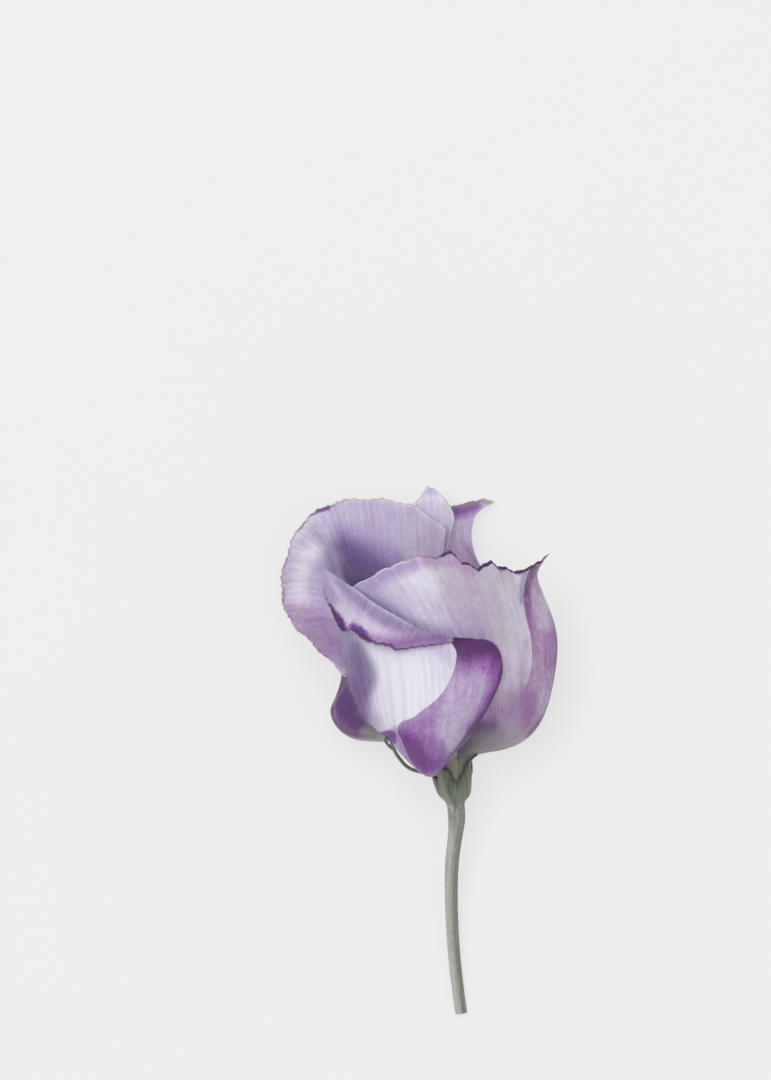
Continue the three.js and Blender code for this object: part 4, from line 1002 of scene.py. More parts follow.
class FlowerPetals(bpy.types.PropertyGroup):
    """Sizes and colours of the petals."""

    thickness: FloatProperty(
        name="Thickness", description="Thickness of a blade at its claw", default=0.0005, min=0.0001,
        max=0.0006, unit="LENGTH", precision=5)
    rim_thickness: FloatProperty(
        name="Rim thickness", description="Thickness of a blade near its rim", default=0.00026,
        min=0.00005, max=0.0006, unit="LENGTH", precision=5)
    pale: FloatVectorProperty(
        name="Pale", description="Ground colour", subtype="COLOR", size=3, min=0, max=1,
        default=tone("ecebf3"))
    # The petals' own lavender; some of its layers are also painted shade, and thinner ones a painted
    # highlight
    lilac: FloatVectorProperty(
        name="Lilac", description="Cool wash over the ground", subtype="COLOR", size=3, min=0, max=1,
        default=tone("9a87bb"))
    mauve: FloatVectorProperty(
        name="Mauve", description="Warm wash over the ground", subtype="COLOR", size=3, min=0, max=1,
        default=tone("a576ac"))
    # Painted shade: a grey darkening where a blade lies in shade, most of all on the right petal and at the
    # feet
    dusk: FloatVectorProperty(
        name="Dusk", description="Grey wash over the ground", subtype="COLOR", size=3, min=0, max=1,
        default=tone("94858f"))
    rose: FloatVectorProperty(
        name="Rose", description="Paler, warmer band", subtype="COLOR", size=3, min=0, max=1,
        default=tone("9a649e"))
    purple: FloatVectorProperty(
        name="Purple", description="Bands and stains", subtype="COLOR", size=3, min=0, max=1,
        default=tone("8c4aa2"))
    # Also the dark rim line and veins, and in some layers painted shade in creases and beside the petals'
    # feet
    plum: FloatVectorProperty(
        name="Plum", description="Darkest part of a band", subtype="COLOR", size=3, min=0, max=1,
        default=tone("4c2a56"))
    # Painted shade in the throat, in folds and creases and along the lip's crest; a few small marks use it
    # as deep violet colour
    violet: FloatVectorProperty(
        name="Violet", description="Deep cool wash in folds and in the throat", subtype="COLOR", size=3,
        min=0, max=1, default=tone("564175"))
    green: FloatVectorProperty(
        name="Green", description="Foot of a petal", subtype="COLOR", size=3, min=0, max=1,
        default=tone("8f9281"))


class FlowerGreens(bpy.types.PropertyGroup):
    """Colours of the stem and the calyx."""

    stem: FloatVectorProperty(
        name="Stem", description="Lit side of the stem", subtype="COLOR", size=3, min=0, max=1,
        default=tone("b0b2a9"))
    # The streaks, and the painted shade on the stem's right side
    stem_dark: FloatVectorProperty(
        name="Stem, dark", description="Streaks on the stem", subtype="COLOR", size=3, min=0, max=1,
        default=tone("74776f"))
    calyx: FloatVectorProperty(
        name="Calyx", description="Face of a sepal", subtype="COLOR", size=3, min=0, max=1,
        default=tone("7c8475"))
    # The painted shade in the furrows, inside the cup and at the sepals' edges and tips
    calyx_dark: FloatVectorProperty(
        name="Calyx, dark", description="Furrows and edges of the sepals", subtype="COLOR", size=3,
        min=0, max=1, default=tone("3c4238"))


class FlowerHeart(bpy.types.PropertyGroup):
    """Colours of the pistil and the stamens."""

    ovary: FloatVectorProperty(
        name="Ovary", description="Ovary and style", subtype="COLOR", size=3, min=0, max=1,
        default=tone("a3ad66"))
    stigma: FloatVectorProperty(
        name="Stigma", description="Lobes of the stigma", subtype="COLOR", size=3, min=0, max=1,
        default=tone("cfd39a"))
    filament: FloatVectorProperty(
        name="Filament", description="Stalks of the stamens", subtype="COLOR", size=3, min=0, max=1,
        default=tone("dfe0cb"))
    anther: FloatVectorProperty(
        name="Anther", description="Pollen sacs", subtype="COLOR", size=3, min=0, max=1,
        default=tone("d9b64a"))


class FlowerStage(bpy.types.PropertyGroup):
    """Floor, light and camera."""

    floor: FloatVectorProperty(
        name="Floor", description="Colour of the floor", subtype="COLOR", size=3, min=0, max=1,
        default=tone("7c7c7c"))
    glow: FloatProperty(
        name="Glow", description="Strength of the light that the floor lets through", default=0.63,
        min=0, max=5)
    sky: FloatProperty(
        name="Sky", description="Strength of the light from all round", default=0.5, min=0, max=5)
    key: FloatProperty(
        name="Key", description="Power of the soft light from the upper left", default=36, min=0, max=500,
        unit="POWER")
    fill: FloatProperty(
        name="Fill", description="Power of the soft light from above", default=12, min=0, max=500,
        unit="POWER")


def petal_skin(name, settings):
    """Thin velvety petal: pale ground, soft washes, painted shade and rim highlight, a crisp purple band,
    fine veins.
    """
    skin = Finish(name + " skin")
    across = skin.value("across")
    along = skin.value("along")
    rim = skin.value("rim")

    def blade_noise(scale, look):
        """A noise that is drawn out along the blade."""
        return skin.noise(skin.place(across * scale[0], along * scale[1], scale[2]), *look)

    fine = blade_noise(*FINE_VEINS)
    broad = blade_noise(*BROAD_VEINS)
    mottle = skin.noise(skin.solid_place(PETAL_MOTTLE[0]), *PETAL_MOTTLE[1])
    web = blade_noise(*VEIN_WEB)
    vein = 1 - (web - 0.5).absolute().step(0.0, VEIN_WIDTH)
    streak = (fine - 0.5) * STREAK[0] + (broad - 0.5) * STREAK[1]
    grain = streak * GRAIN[0] + (mottle - 0.5) * GRAIN[1]

    def coat(channel, share):
        """The amount of a channel, with its half-covered parts broken up by the grain."""
        amount = skin.value(channel)
        return (amount + grain * share * (amount * (1 - amount) * 4 + EVEN_BREAK_UP)).clamped()

    def wash(below, channel, hue, limit=None):
        """A colour with another over it, as far as its channel and its limit let it."""
        share = coat(channel, BREAK_UP[channel])
        if limit:
            share = share * limit
        return skin.mix(share, below, tuple(hue))

    inside = (skin.value("border") + grain * BORDER_GRAIN).step(*BORDER_STEP)
    # Painted highlight along the thin rim: the lilac thins out there
    rim_highlight = 1 - (1 - rim.step(*RIM_HIGHLIGHT)) * RIM_HIGHLIGHT_SHARE
    edge = skin.value("edge")
    reach = rim - edge * LINE_REACH + (broad - 0.5) * LINE_WANDER[0] + (mottle - 0.5) * LINE_WANDER[1]
    line = 1 - reach.step(0.0, LINE_SOFTNESS)
    # Painted shade in grey comes first, under the washes
    colour = wash(tuple(settings.pale), "dusk", settings.dusk)
    colour = wash(colour, "lilac", settings.lilac, rim_highlight)
    colour = wash(colour, "mauve", settings.mauve)
    colour = wash(colour, "rose", settings.rose, inside)
    colour = wash(colour, "purple", settings.purple, inside)
    colour = wash(colour, "stain", settings.purple)
    colour = wash(colour, "plum", settings.plum, inside)
    veins = vein * coat("purple", VEIN_BREAK_UP) * inside * VEIN_SHARE
    colour = skin.mix(veins, colour, tuple(settings.plum))
    # Painted shade in deep violet: throat, folds and creases
    colour = wash(colour, "violet", settings.violet)
    colour = wash(colour, "green", settings.green)
    colour = skin.mix((edge * line).clamped(), colour, tuple(settings.plum))
    fold = blade_noise(*SOFT_FOLDS)
    crinkle = blade_noise(*RIM_CRINKLES)
    near_rim = 1 - rim.step(*CRINKLED_RIM)
    colour = skin.tinted(colour, (0.5 + streak * 0.5).clamped(), *VEIN_SHADE)
    # Painted shade in the soft folds of the relief
    colour = skin.tinted(colour, fold.step(*FOLD_STEP), *FOLD_SHADE)
    height = fine * RELIEF["fine"] + broad * RELIEF["broad"] + mottle * RELIEF["mottle"]
    height = height + fold * RELIEF["fold"] + crinkle * RELIEF["crinkle"] * near_rim
    constants = {
        "Subsurface Weight": 0.3, "Subsurface Radius": (1.0, 0.7, 1.1), "Subsurface Scale": 0.0012,
        "Sheen Weight": 0.05, "Sheen Roughness": 0.5, "Specular IOR Level": 0.2,
    }
    links = {
        "Base Color": colour, "Roughness": 0.52 + mottle * 0.16,
        "Normal": skin.bump(height, PETAL_DEPTH, 0.5),
    }
    return skin.finish(constants, links)


def make_petal(name, settings):
    """One petal: its waved and traced middle surface, thinned to its rim and closed round its border."""
    petal = PETALS[name]
    net = petal_net(petal)
    facet = PETAL_FACET
    coarse = petal_grid(net, SIZING_NET, SIZING_NET)
    width = np.linalg.norm(np.diff(coarse[:, -1], axis=0), axis=-1).sum()
    length = np.linalg.norm(np.diff(coarse, axis=1), axis=-1).sum(axis=1).mean()
    columns = round(width / facet)
    rows = round(length / facet)
    grid = petal_grid(net, columns, rows)
    across = np.linspace(0, 1, columns)[:, None]
    along = np.linspace(0, 1, rows)[None, :]

    up, out = directions(grid)
    phase = 2 * np.pi * petal["waves"] * across
    zone = smoothstep(along, 1 - WAVE_ZONE, 1)
    grid = grid + up * (zone * petal["wave"] * WAVE_ALONG * np.sin(phase + WAVE_LAG))[..., None]
    grid = grid + out * (zone * petal["wave"] * np.sin(phase))[..., None]
    shift = rim_shift(grid[:, -1], petal["trace"])
    grid = grid + shift[:, None, :] * smoothstep(along, 1 - TRACE_ZONE, 1)[..., None]
    height, count = petal["ripple"]
    zone = smoothstep(along, 1 - RIPPLE_ZONE, 1)
    grid = grid + out * (zone * height * ripple(across, count))[..., None]
    second = ripple(across + RIPPLE_LAG, count * RIPPLE_RATE)
    grid = grid + up * (zone ** 3 * height * second)[..., None]

    out = directions(grid)[1]
    at_claw = settings.thickness / MM
    at_rim = settings.rim_thickness / MM
    thickness = at_claw + (at_rim - at_claw) * smoothstep(along)
    offset = out[1:-1, 1:-1] * (thickness[..., None] / 2)[:, 1:-1]
    inner = grid[1:-1, 1:-1] - offset
    outer = grid.copy()
    outer[1:-1, 1:-1] += offset

    numbers = np.arange(columns * rows).reshape(columns, rows)
    inside = numbers.copy()
    within = np.arange((columns - 2) * (rows - 2)).reshape(columns - 2, rows - 2)
    inside[1:-1, 1:-1] = columns * rows + within
    faces = []
    for sheet, turned in ((numbers, False), (inside, True)):
        corners = [sheet[:-1, :-1], sheet[1:, :-1], sheet[1:, 1:], sheet[:-1, 1:]]
        quads = np.stack(corners, axis=-1).reshape(-1, 4)
        faces += (quads[:, ::-1] if turned else quads).tolist()

    vertices = np.concatenate([outer.reshape(-1, 3), inner.reshape(-1, 3)])
    outer_paint = painted(name, "outer", outer.reshape(-1, 3))
    inner_paint = painted(name, "inner", inner.reshape(-1, 3))
    values = {key: np.concatenate([outer_paint[key], inner_paint[key]]) for key in outer_paint}
    spread = {
        "across": across * width + 0 * along,
        "along": along * length + 0 * across,
        "rim": (1 - along) * length + 0 * across,
    }
    for label, numbers_on in spread.items():
        values[label] = np.concatenate([numbers_on.ravel(), numbers_on[1:-1, 1:-1].ravel()])
    claw = 1 - smoothstep(values["along"], *GREEN_CLAW)
    values["green"] = np.maximum(values["green"], claw)
    piece = mesh_object(name.replace("petal_", "") + "_petal", vertices, faces, values)
    settle(piece, name, petal_skin(name, settings))
    return piece


def closed_rings(rings):
    """Faces of a closed body through rings of equal count, with a fan at each end."""
    steps, sides = rings.shape[:2]
    numbers = np.arange(steps * sides).reshape(steps, sides)
    following = np.roll(numbers, -1, axis=1)
    walls = np.stack([numbers[:-1], following[:-1], following[1:], numbers[1:]], axis=-1).reshape(-1, 4)
    first = steps * sides
    vertices = np.concatenate([rings.reshape(-1, 3), [rings[0].mean(axis=0)], [rings[-1].mean(axis=0)]])
    ends = [(first, following[0, k], numbers[0, k]) for k in range(sides)]
    ends += [(first + 1, numbers[-1, k], following[-1, k]) for k in range(sides)]
    return vertices, [*walls.tolist(), *[tuple(int(n) for n in face) for face in ends]]


def hoop_faces(rings):
    """Faces of a hoop-shaped body through rings that lead back to the first one."""
    numbers = np.arange(rings.shape[0] * rings.shape[1]).reshape(rings.shape[:2])
    after = np.roll(numbers, -1, axis=1)
    corners = [numbers, after, np.roll(after, -1, axis=0), np.roll(numbers, -1, axis=0)]
    return np.stack(corners, axis=-1).reshape(-1, 4).tolist()


def tube_rings(centres, radii, sides, ridge=None):
    """Rings round a centre line, each turning on without a twist."""
    right = np.array([1.0, 0.0, 0.0])
    angles = 2 * np.pi * np.arange(sides) / sides
    along = unit(np.gradient(centres, axis=0))
    rings = []
    for centre, radius, way in zip(centres, radii, along):
        right = unit(right - way * (right @ way))
        up = np.cross(way, right)
        reach = radius * (1 + (ridge(angles) if ridge else 0 * angles))
        spokes = np.cos(angles)[:, None] * right + np.sin(angles)[:, None] * up
        rings.append(centre + reach[:, None] * spokes)
    return np.array(rings)


def plant_skin(name, light, dark, streak_scale, other=None):
    """Smooth waxy green: pale and dark streaks and painted light and shade, which may turn into another
    pair.
    """
    skin = Finish(name)
    place = skin.place(skin.value("around") * streak_scale, skin.value("along") * PLANT_STREAK, 0.0)
    streak = skin.noise(place, detail=3.0, roughness=0.6)
    mottle = skin.noise(skin.solid_place(PLANT_MOTTLE), detail=3.0, roughness=0.6)
    grain = (streak - 0.5) * PLANT_SHADE[0] + (mottle - 0.5) * PLANT_SHADE[1]
    shade = (grain + skin.value("shade")).clamped()
    colour = skin.mix(shade, light, dark)
    if other:
        share = (skin.value("other") + (mottle - 0.5) * PLANT_TURN).clamped()
        colour = skin.mix(share, colour, skin.mix(shade, *other))
    constants = {
        "Subsurface Weight": 0.12, "Subsurface Radius": (0.8, 1.0, 0.5), "Subsurface Scale": 0.001,
        "Specular IOR Level": 0.4, "Sheen Weight": 0.08,
    }
    height = streak * PLANT_RELIEF[0] + mottle * PLANT_RELIEF[1]
    links = {
        "Base Color": colour, "Roughness": 0.42 + mottle * 0.2,
        "Normal": skin.bump(height, PLANT_DEPTH, 0.5),
    }
    return skin.finish(constants, links)


def make_stem(settings):
    """The stem: a tube with faint ridges, from the calyx to its cut end."""
    top = [*around_axis(STEM_TOP + STEM_INTO_CALYX, 0, 0), STEM_TOP_RADIUS]
    places = smooth_line([top, *STEM], STEM_STEPS)

    def ridge(angles):
        return STEM_RIDGE * np.cos(STEM_RIDGES * angles)

    rings = tube_rings(places[:, :3], places[:, 3], STEM_SIDES, ridge)
    vertices, faces = closed_rings(rings)
    length = np.concatenate([[0], np.cumsum(np.linalg.norm(np.diff(places[:, :3], axis=0), axis=1))])
    along = np.concatenate([np.repeat(length, STEM_SIDES), [0, length[-1]]])
    angle = 2 * np.pi * np.arange(STEM_SIDES) / STEM_SIDES
    around = np.concatenate([np.tile(STEM_AROUND * np.cos(angle), STEM_STEPS), [0, 0]])
    rightward = np.tile(np.cos(angle), STEM_STEPS)
    free = smoothstep(along[:-2], *STEM_FREE)
    middle, rise = STEM_TOP_SHADE
    mean, depth, turns = STEM_LIGHT_AND_SHADE
    # Painted light and shade across the stem: lit on the left and shaded on the right
    light_and_shade = mean + depth * np.sin(turns * rightward)
    shade = np.concatenate([(middle + rise * rightward) * (1 - free) + light_and_shade * free, [middle, middle]])
    other = STEM_CALYX_SHARE * (1 - smoothstep(along, 0, STEM_BLEND))
    values = {"along": along, "around": around, "shade": shade, "other": other}
    piece = mesh_object("flower_stem", vertices, faces, values)
    stem = (tuple(settings.stem), tuple(settings.stem_dark))
    calyx = (tuple(settings.calyx), tuple(settings.calyx_dark))
    settle(piece, "stem", plant_skin("stem skin", *stem, STEM_STREAKS, calyx))


def cup_place(height, radius, azimuth):
    """A place round the axis of the calyx, which leans a little to the left of the bloom's."""
    lean = CUP_LEAN * smoothstep(height, *CUP_LEANS)
    return around_axis(height, radius, azimuth) - SIDE * lean[..., None]


def sepal_rows(azimuth, narrow_at, tip):
    """Rows across the free part of a sepal, outside and inside, from above the cup to the thread's end."""
    mouth_height, mouth_radius = CUP_OUTSIDE[-1]
    start = cup_place(mouth_height, mouth_radius + SEPAL_KEEL, azimuth)
    lift = cup_place(mouth_height + SEPAL_LIFT, mouth_radius + SEPAL_KEEL + SEPAL_SPLAY, azimuth)
    points = np.array([start, lift, *tip], float)
    rough = np.linalg.norm(np.diff(points, axis=0), axis=1).sum()
    steps = round(rough / SEPAL_STEP)
    line = smooth_line(points, steps + 1)
    along = unit(np.gradient(line, axis=0))
    length = np.concatenate([[0], np.cumsum(np.linalg.norm(np.diff(line, axis=0), axis=1))])
    width = 2 * mouth_radius * math.sin(math.radians(SEPAL_ANGLE / 2))
    side = np.linspace(-1, 1, SEPAL_COLUMNS + 1)[:, None]
    outward = unit(start - cup_place(mouth_height, 0, 0))
    rows = []
    for number in range(1, steps + 1):
        centre = line[number]
        away = centre - around_axis((centre - AXIS_FOOT) @ AXIS, 0, 0)
        if length[number] > narrow_at:
            away = outward
        outward = unit(away - along[number] * (away @ along[number]))
        across = np.cross(along[number], outward)
        taper = min(1, length[number] / narrow_at)
        half = (width + (SEPAL_TIP_WIDTH - width) * taper ** SEPAL_TAPER_POWER) / 2
        drop = (SEPAL_KEEL + half * half / (2 * mouth_radius)) * side ** 2 * min(1, half)
        outer = centre + across * (half * side) - outward * drop
        depth = SEPAL_THICKNESS - (SEPAL_THICKNESS - SEPAL_MARGIN) * side ** 2
        rows.append((outer, outer - outward * depth))
    return rows


def calyx_values(points, shade):
    """What the calyx's points hold: the stem's colour, a painted keel highlight and painted groove shade.
    """
    height = (points - AXIS_FOOT) @ AXIS
    across = (points - AXIS_FOOT) @ SIDE
    foot = 1 - smoothstep(height, *FOOT_HEIGHTS)
    shade = shade + (FOOT_SHADE[0] + FOOT_SHADE[1] * across) * foot
    # Painted highlight along the left sepal's keel and painted shade in the groove beside it
    from_keel = points[:, 0] - np.interp(points[:, 1], *zip(*KEEL_HIGHLIGHT_LINE))
    shade -= KEEL_HIGHLIGHT * np.exp(-(from_keel / KEEL_HIGHLIGHT_WIDTH) ** 2)
    groove = GROOVE_SHADE * np.exp(-((from_keel - GROOVE_AWAY) / GROOVE_WIDTH) ** 2)
    shade += groove * smoothstep(points[:, 1], *GROOVE_GROWS)
    around = across * CALYX_AROUND
    return {"along": height, "around": around, "shade": shade, "other": FOOT_STEM_SHARE * foot}


def make_calyx(settings):
    """The calyx: one skin up the outside of the cup, round each keeled sepal, and down the inside."""
    columns = len(SEPALS) * SEPAL_COLUMNS
    number = np.arange(columns)
    side = 2 * (number % SEPAL_COLUMNS) / SEPAL_COLUMNS - 1
    azimuth = SEPALS[0][0] + SEPAL_ANGLE * (number / SEPAL_COLUMNS - 0.5)
    points = []
    shade = []
    faces = []

    def push(row, darkness):
        start = len(points)
        points.extend(row)
        shade.extend(darkness)
        return list(range(start, len(points)))

    def quad(a, b, c, d):
        faces.append((a, b, c, d))

    # Painted shade: in the furrows between the sepals, towards the cup's mouth and inside it
    furrow = FURROW_SHADE * np.abs(side) ** 3
    outer_rings = []
    for height, radius in smooth_line(CUP_OUTSIDE, CUP_STEPS):
        keel = SEPAL_KEEL * smoothstep(height, *KEEL_RISE) * (1 - np.abs(side)) ** KEEL_POWER
        dark = CUP_SHADE[0] + CUP_SHADE[1] * smoothstep(height, *CUP_SHADING)
        dark = dark + furrow * smoothstep(height, *FURROW_HEIGHTS)
        outer_rings.append(push(cup_place(height, radius + keel, azimuth), dark))
    inner_rings = []
    for height, radius in smooth_line(CUP_INSIDE, CUP_INSIDE_STEPS):
        inner_rings.append(push(cup_place(height, radius, azimuth), INSIDE_SHADE + 0 * side))
    for rings, turned in ((outer_rings, False), (inner_rings, True)):
        for lower, upper in zip(rings, rings[1:]):
            for k in range(columns):
                after = (k + 1) % columns
                if turned:
                    quad(lower[after], lower[k], upper[k], upper[after])
                else:
                    quad(lower[k], lower[after], upper[after], upper[k])
    foot = push([cup_place(CUP_OUTSIDE[0][0], 0, 0)], [INSIDE_SHADE])[0]
    floor = push([cup_place(CUP_INSIDE[0][0], 0, 0)], [INSIDE_SHADE])[0]
    for k in range(columns):
        after = (k + 1) % columns
        faces.append((foot, outer_rings[0][after], outer_rings[0][k]))
        faces.append((floor, inner_rings[0][k], inner_rings[0][after]))
    margin = np.linspace(-1, 1, SEPAL_COLUMNS + 1)
    for order, (sepal_azimuth, narrow_at, tip) in enumerate(SEPALS):
        places = [(order * SEPAL_COLUMNS + k) % columns for k in range(SEPAL_COLUMNS + 1)]
        outer_before = [outer_rings[-1][k] for k in places]
        inner_before = [inner_rings[-1][k] for k in places]
        rows = sepal_rows(sepal_azimuth, narrow_at, tip)
        for step, (outer, inner) in enumerate(rows):
            dark = SEPAL_SHADE + FURROW_SHADE * np.abs(margin) ** 3 + TIP_SHADE * (step / len(rows)) ** 2
            outer_after = push(outer, dark)
            inner_after = push(inner, dark)
            for k in range(SEPAL_COLUMNS):
                quad(outer_before[k], outer_before[k + 1], outer_after[k + 1], outer_after[k])
                quad(inner_before[k + 1], inner_before[k], inner_after[k], inner_after[k + 1])
            quad(inner_before[0], outer_before[0], outer_after[0], inner_after[0])
            quad(outer_before[-1], inner_before[-1], inner_after[-1], outer_after[-1])
            outer_before = outer_after
            inner_before = inner_after
        for k in range(SEPAL_COLUMNS):
            quad(outer_before[k], outer_before[k + 1], inner_before[k + 1], inner_before[k])
    points = np.array(points)
    piece = mesh_object("flower_calyx", points, faces, calyx_values(points, np.array(shade)))
    stem = (tuple(settings.stem), tuple(settings.stem_dark))
    calyx = (tuple(settings.calyx), tuple(settings.calyx_dark))
    settle(piece, "calyx", plant_skin("calyx skin", *calyx, CALYX_STREAKS, stem))


def make_corolla_tube(settings):
    """The short green tube in which the petals' claws are grown together."""
    outside = smooth_line(TUBE_OUTSIDE, TUBE_STEPS)
    inside = outside[::-1] - np.array([0, TUBE_THICKNESS])
    profile = np.concatenate([outside, inside])
    rings = turned_rings(profile, turn(TUBE_SIDES))
    shade = TUBE_SHADE[0] + TUBE_SHADE[1] * profile[:, 0]
    values = {
        "along": np.repeat(profile[:, 0], TUBE_SIDES),
        "around": np.tile(turn(TUBE_SIDES) / TUBE_AROUND, len(profile)),
        "shade": np.repeat(shade, TUBE_SIDES),
    }
    piece = mesh_object("corolla_tube", rings.reshape(-1, 3), hoop_faces(rings), values)
    finish = plant_skin("corolla tube skin", tuple(settings.pale), tuple(settings.green), TUBE_STREAKS)
    piece.data.materials.append(finish)
    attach(piece, "root")


def joined(parts):
    """Vertices and faces of several bodies in one list, with one value for each body."""
    vertices = []
    faces = []
    marks = []
    for body_vertices, body_faces, mark in parts:
        start = len(marks)
        vertices.append(body_vertices)
        faces += [tuple(number + start for number in face) for face in body_faces]
        marks += [mark] * len(body_vertices)
    return np.concatenate(vertices), faces, np.array(marks)


def heart_skin(name, first, second, grain):
    """Two plant colours, one for each mark on the mesh, with a fine grain."""
    skin = Finish(name)
    mottle = skin.noise(skin.solid_place(grain), detail=3.0, roughness=0.65)
    colour = skin.mix(skin.value("mark"), first, second)
    colour = skin.tinted(colour, mottle.step(*HEART_STEP), *HEART_SHADE)
    constants = {"Subsurface Weight": 0.15, "Subsurface Radius": (1, 0.9, 0.5), "Subsurface Scale": 0.0008}
    links = {
        "Base Color": colour, "Roughness": 0.45 + mottle * 0.3,
        "Normal": skin.bump(mottle, HEART_DEPTH, 0.6),
    }
    return skin.finish(constants, links)


def make_pistil(settings):
    """Ovary, style and the two spreading lobes of the stigma."""
    azimuths = turn(PISTIL_SIDES)
    depth, power = PISTIL_GROOVE
    groove = 1 - depth * np.abs(np.sin(np.radians(azimuths))) ** power
    rings = turned_rings(smooth_line(PISTIL, PISTIL_STEPS), azimuths, groove)
    parts = [(*closed_rings(rings), 0.0)]
    for azimuth in (0, 180):
        lobe = smooth_line([(*around_axis(h, d, azimuth), r) for d, h, r in STIGMA_LOBE], LOBE_STEPS)
        parts.append((*closed_rings(tube_rings(lobe[:, :3], lobe[:, 3], LOBE_SIDES)), 1.0))
    vertices, faces, marks = joined(parts)
    piece = mesh_object("flower_pistil", vertices, faces, {"mark": marks})
    finish = heart_skin("pistil skin", tuple(settings.ovary), tuple(settings.stigma), PISTIL_GRAIN)
    settle(piece, "pistil", finish)


def anther(azimuth):
    """A pollen sac with a furrow down each side."""
    angles = 2 * np.pi * np.arange(ANTHER_SIDES) / ANTHER_SIDES
    centre = around_axis(ANTHER_HEIGHT, ANTHER_DISTANCE, azimuth)
    outward = unit(around_axis(0, 1, azimuth) - AXIS_FOOT)
    across = np.cross(AXIS, outward)
    depth, power = ANTHER_FURROW
    furrow = 1 - depth * np.abs(np.cos(angles)) ** power
    rings = []
    for step in np.linspace(0, 1, ANTHER_STEPS)[1:-1]:
        reach = math.sin(math.pi * step) ** ANTHER_POWER
        ring = (ANTHER_SIZE[0] * reach * furrow * np.cos(angles))[:, None] * outward
        ring = ring + (ANTHER_SIZE[1] * reach * furrow * np.sin(angles))[:, None] * across
        rings.append(centre + ring + AXIS * ANTHER_SIZE[2] * (2 * step - 1))
    return closed_rings(np.array(rings))


def make_stamens(settings):
    """Five stamens on a ring round the foot of the ovary."""
    rings = turned_rings(STAMEN_RING, turn(RING_SIDES))
    parts = [(rings.reshape(-1, 3), hoop_faces(rings), 0.0)]
    radii = np.full(FILAMENT_STEPS, FILAMENT_RADIUS)
    for azimuth in FIRST_STAMEN + turn(STAMEN_COUNT):
        places = [around_axis(height, distance, azimuth) for height, distance in FILAMENT]
        line = smooth_line(places, FILAMENT_STEPS)
        parts.append((*closed_rings(tube_rings(line, radii, FILAMENT_SIDES)), 0.0))
        parts.append((*anther(azimuth), 1.0))
    vertices, faces, marks = joined(parts)
    piece = mesh_object("flower_stamens", vertices, faces, {"mark": marks})
    finish = heart_skin("stamen skin", tuple(settings.filament), tuple(settings.anther), STAMEN_GRAIN)
    settle(piece, "stamens", finish)


def soft_light(name, power, size, place):
    """A square area light that faces the bloom."""
    data = bpy.data.lights.new(name, "AREA")
    data.energy = power
    data.size = size
    light = bpy.data.objects.new(name, data)
    light.location = place
    light.rotation_euler = (Vector(LIT_PLACE) - Vector(place)).to_track_quat("-Z", "Y").to_euler()
    bpy.context.scene.collection.objects.link(light)


def make_stage(settings):
    """A plain pale floor, soft light all round and from the upper left, and a camera that looks down."""
    bpy.ops.mesh.primitive_plane_add(size=FLOOR_SIZE, location=(0, 0, 0))
    floor = bpy.context.object
    floor.name = "floor"
    skin = Finish("floor paint")
    grain = skin.noise(skin.solid_place(FLOOR_GRAIN))
    colour = skin.mix(grain, tuple(settings.floor), tuple(FLOOR_SHADE * part for part in settings.floor))
    glow = {"Emission Color": (1, 1, 1, 1), "Emission Strength": settings.glow}
    constants = {"Roughness": 0.9, "Specular IOR Level": 0.1, **glow}
    floor.data.materials.append(skin.finish(constants, {"Base Color": colour}))

    world = bpy.data.worlds.new("soft sky")
    world.use_nodes = True
    background = world.node_tree.nodes["Background"]
    background.inputs["Color"].default_value = (1, 1, 1, 1)
    background.inputs["Strength"].default_value = settings.sky
    bpy.context.scene.world = world
    bpy.context.scene.view_settings.view_transform = "Standard"

    for name, (size, place, setting) in LIGHTS.items():
        soft_light(name, getattr(settings, setting), size, place)

    data = bpy.data.cameras.new("view from above")
    data.sensor_width = SENSOR
    data.lens = SENSOR * VIEW_DISTANCE / VIEW_HEIGHT
    data.clip_start, data.clip_end = VIEW_CLIP
    camera = bpy.data.objects.new("view from above", data)
    place = np.array([*VIEW_CENTRE, VIEW_PLANE + VIEW_DISTANCE]) - FOOTPRINT
    camera.location = tuple(place * MM)
    bpy.context.scene.collection.objects.link(camera)
    bpy.context.scene.camera = camera


class MakePetals(bpy.types.Operator):
    """Makes the five petals and the tube at their foot"""

    bl_idname = "flower.petals"
    bl_label = "Petals"

    def execute(self, context):
        settings = context.scene.flower_petals
        for name in PETALS:
            make_petal(name, settings)
        make_corolla_tube(settings)
        return {"FINISHED"}


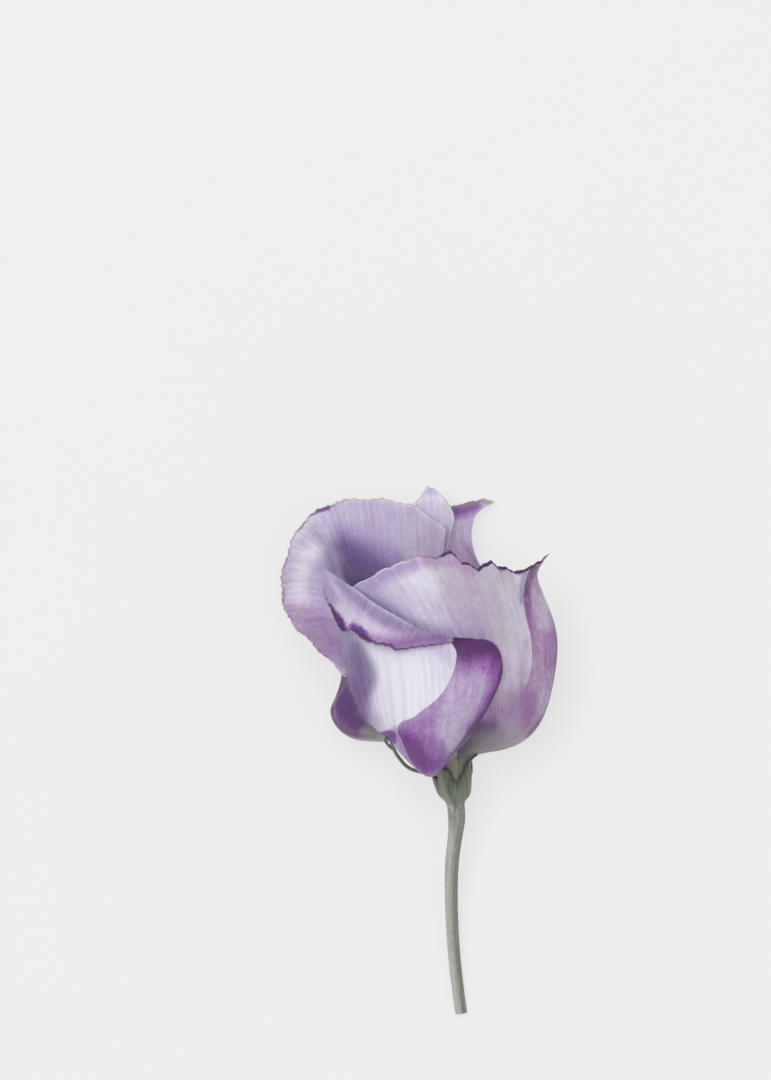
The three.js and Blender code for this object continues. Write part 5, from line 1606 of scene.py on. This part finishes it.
class MakeStem(bpy.types.Operator):
    """Makes the stem"""

    bl_idname = "flower.stem"
    bl_label = "Stem"

    def execute(self, context):
        make_stem(context.scene.flower_greens)
        return {"FINISHED"}


class MakeCalyx(bpy.types.Operator):
    """Makes the calyx with its five sepals"""

    bl_idname = "flower.calyx"
    bl_label = "Calyx"

    def execute(self, context):
        make_calyx(context.scene.flower_greens)
        return {"FINISHED"}


class MakeHeart(bpy.types.Operator):
    """Makes the pistil and the stamens"""

    bl_idname = "flower.heart"
    bl_label = "Pistil and stamens"

    def execute(self, context):
        settings = context.scene.flower_heart
        make_pistil(settings)
        make_stamens(settings)
        return {"FINISHED"}


class MakeStage(bpy.types.Operator):
    """Makes the floor, the light and the camera"""

    bl_idname = "flower.stage"
    bl_label = "Stage"

    def execute(self, context):
        make_stage(context.scene.flower_stage)
        return {"FINISHED"}


class FlowerPanel(bpy.types.Panel):
    """Lists what makes the flower, with its sizes and colours"""

    bl_idname = "VIEW3D_PT_flower"
    bl_label = "Lisianthus flower"
    bl_space_type = "VIEW_3D"
    bl_region_type = "UI"
    bl_category = "Flower"

    def draw(self, context):
        for operator in OPERATORS:
            self.layout.operator(operator.bl_idname)
        for name in SETTINGS:
            group = getattr(context.scene, name)
            box = self.layout.box()
            for label in group.__annotations__:
                box.prop(group, label)


SETTINGS = {
    "flower_petals": FlowerPetals,
    "flower_greens": FlowerGreens,
    "flower_heart": FlowerHeart,
    "flower_stage": FlowerStage,
}
OPERATORS = [MakeStage, MakeStem, MakeCalyx, MakePetals, MakeHeart]


def register():
    for group in [*SETTINGS.values(), *OPERATORS, FlowerPanel]:
        bpy.utils.register_class(group)
    for name, group in SETTINGS.items():
        setattr(bpy.types.Scene, name, PointerProperty(type=group))


def unregister():
    for name in SETTINGS:
        delattr(bpy.types.Scene, name)
    for group in [FlowerPanel, *OPERATORS, *SETTINGS.values()]:
        bpy.utils.unregister_class(group)


def main():
    register()
    bpy.ops.flower.stage()
    bpy.ops.flower.stem()
    bpy.ops.flower.calyx()
    bpy.ops.flower.petals()
    bpy.ops.flower.heart()


if __name__ == "__main__":
    main()
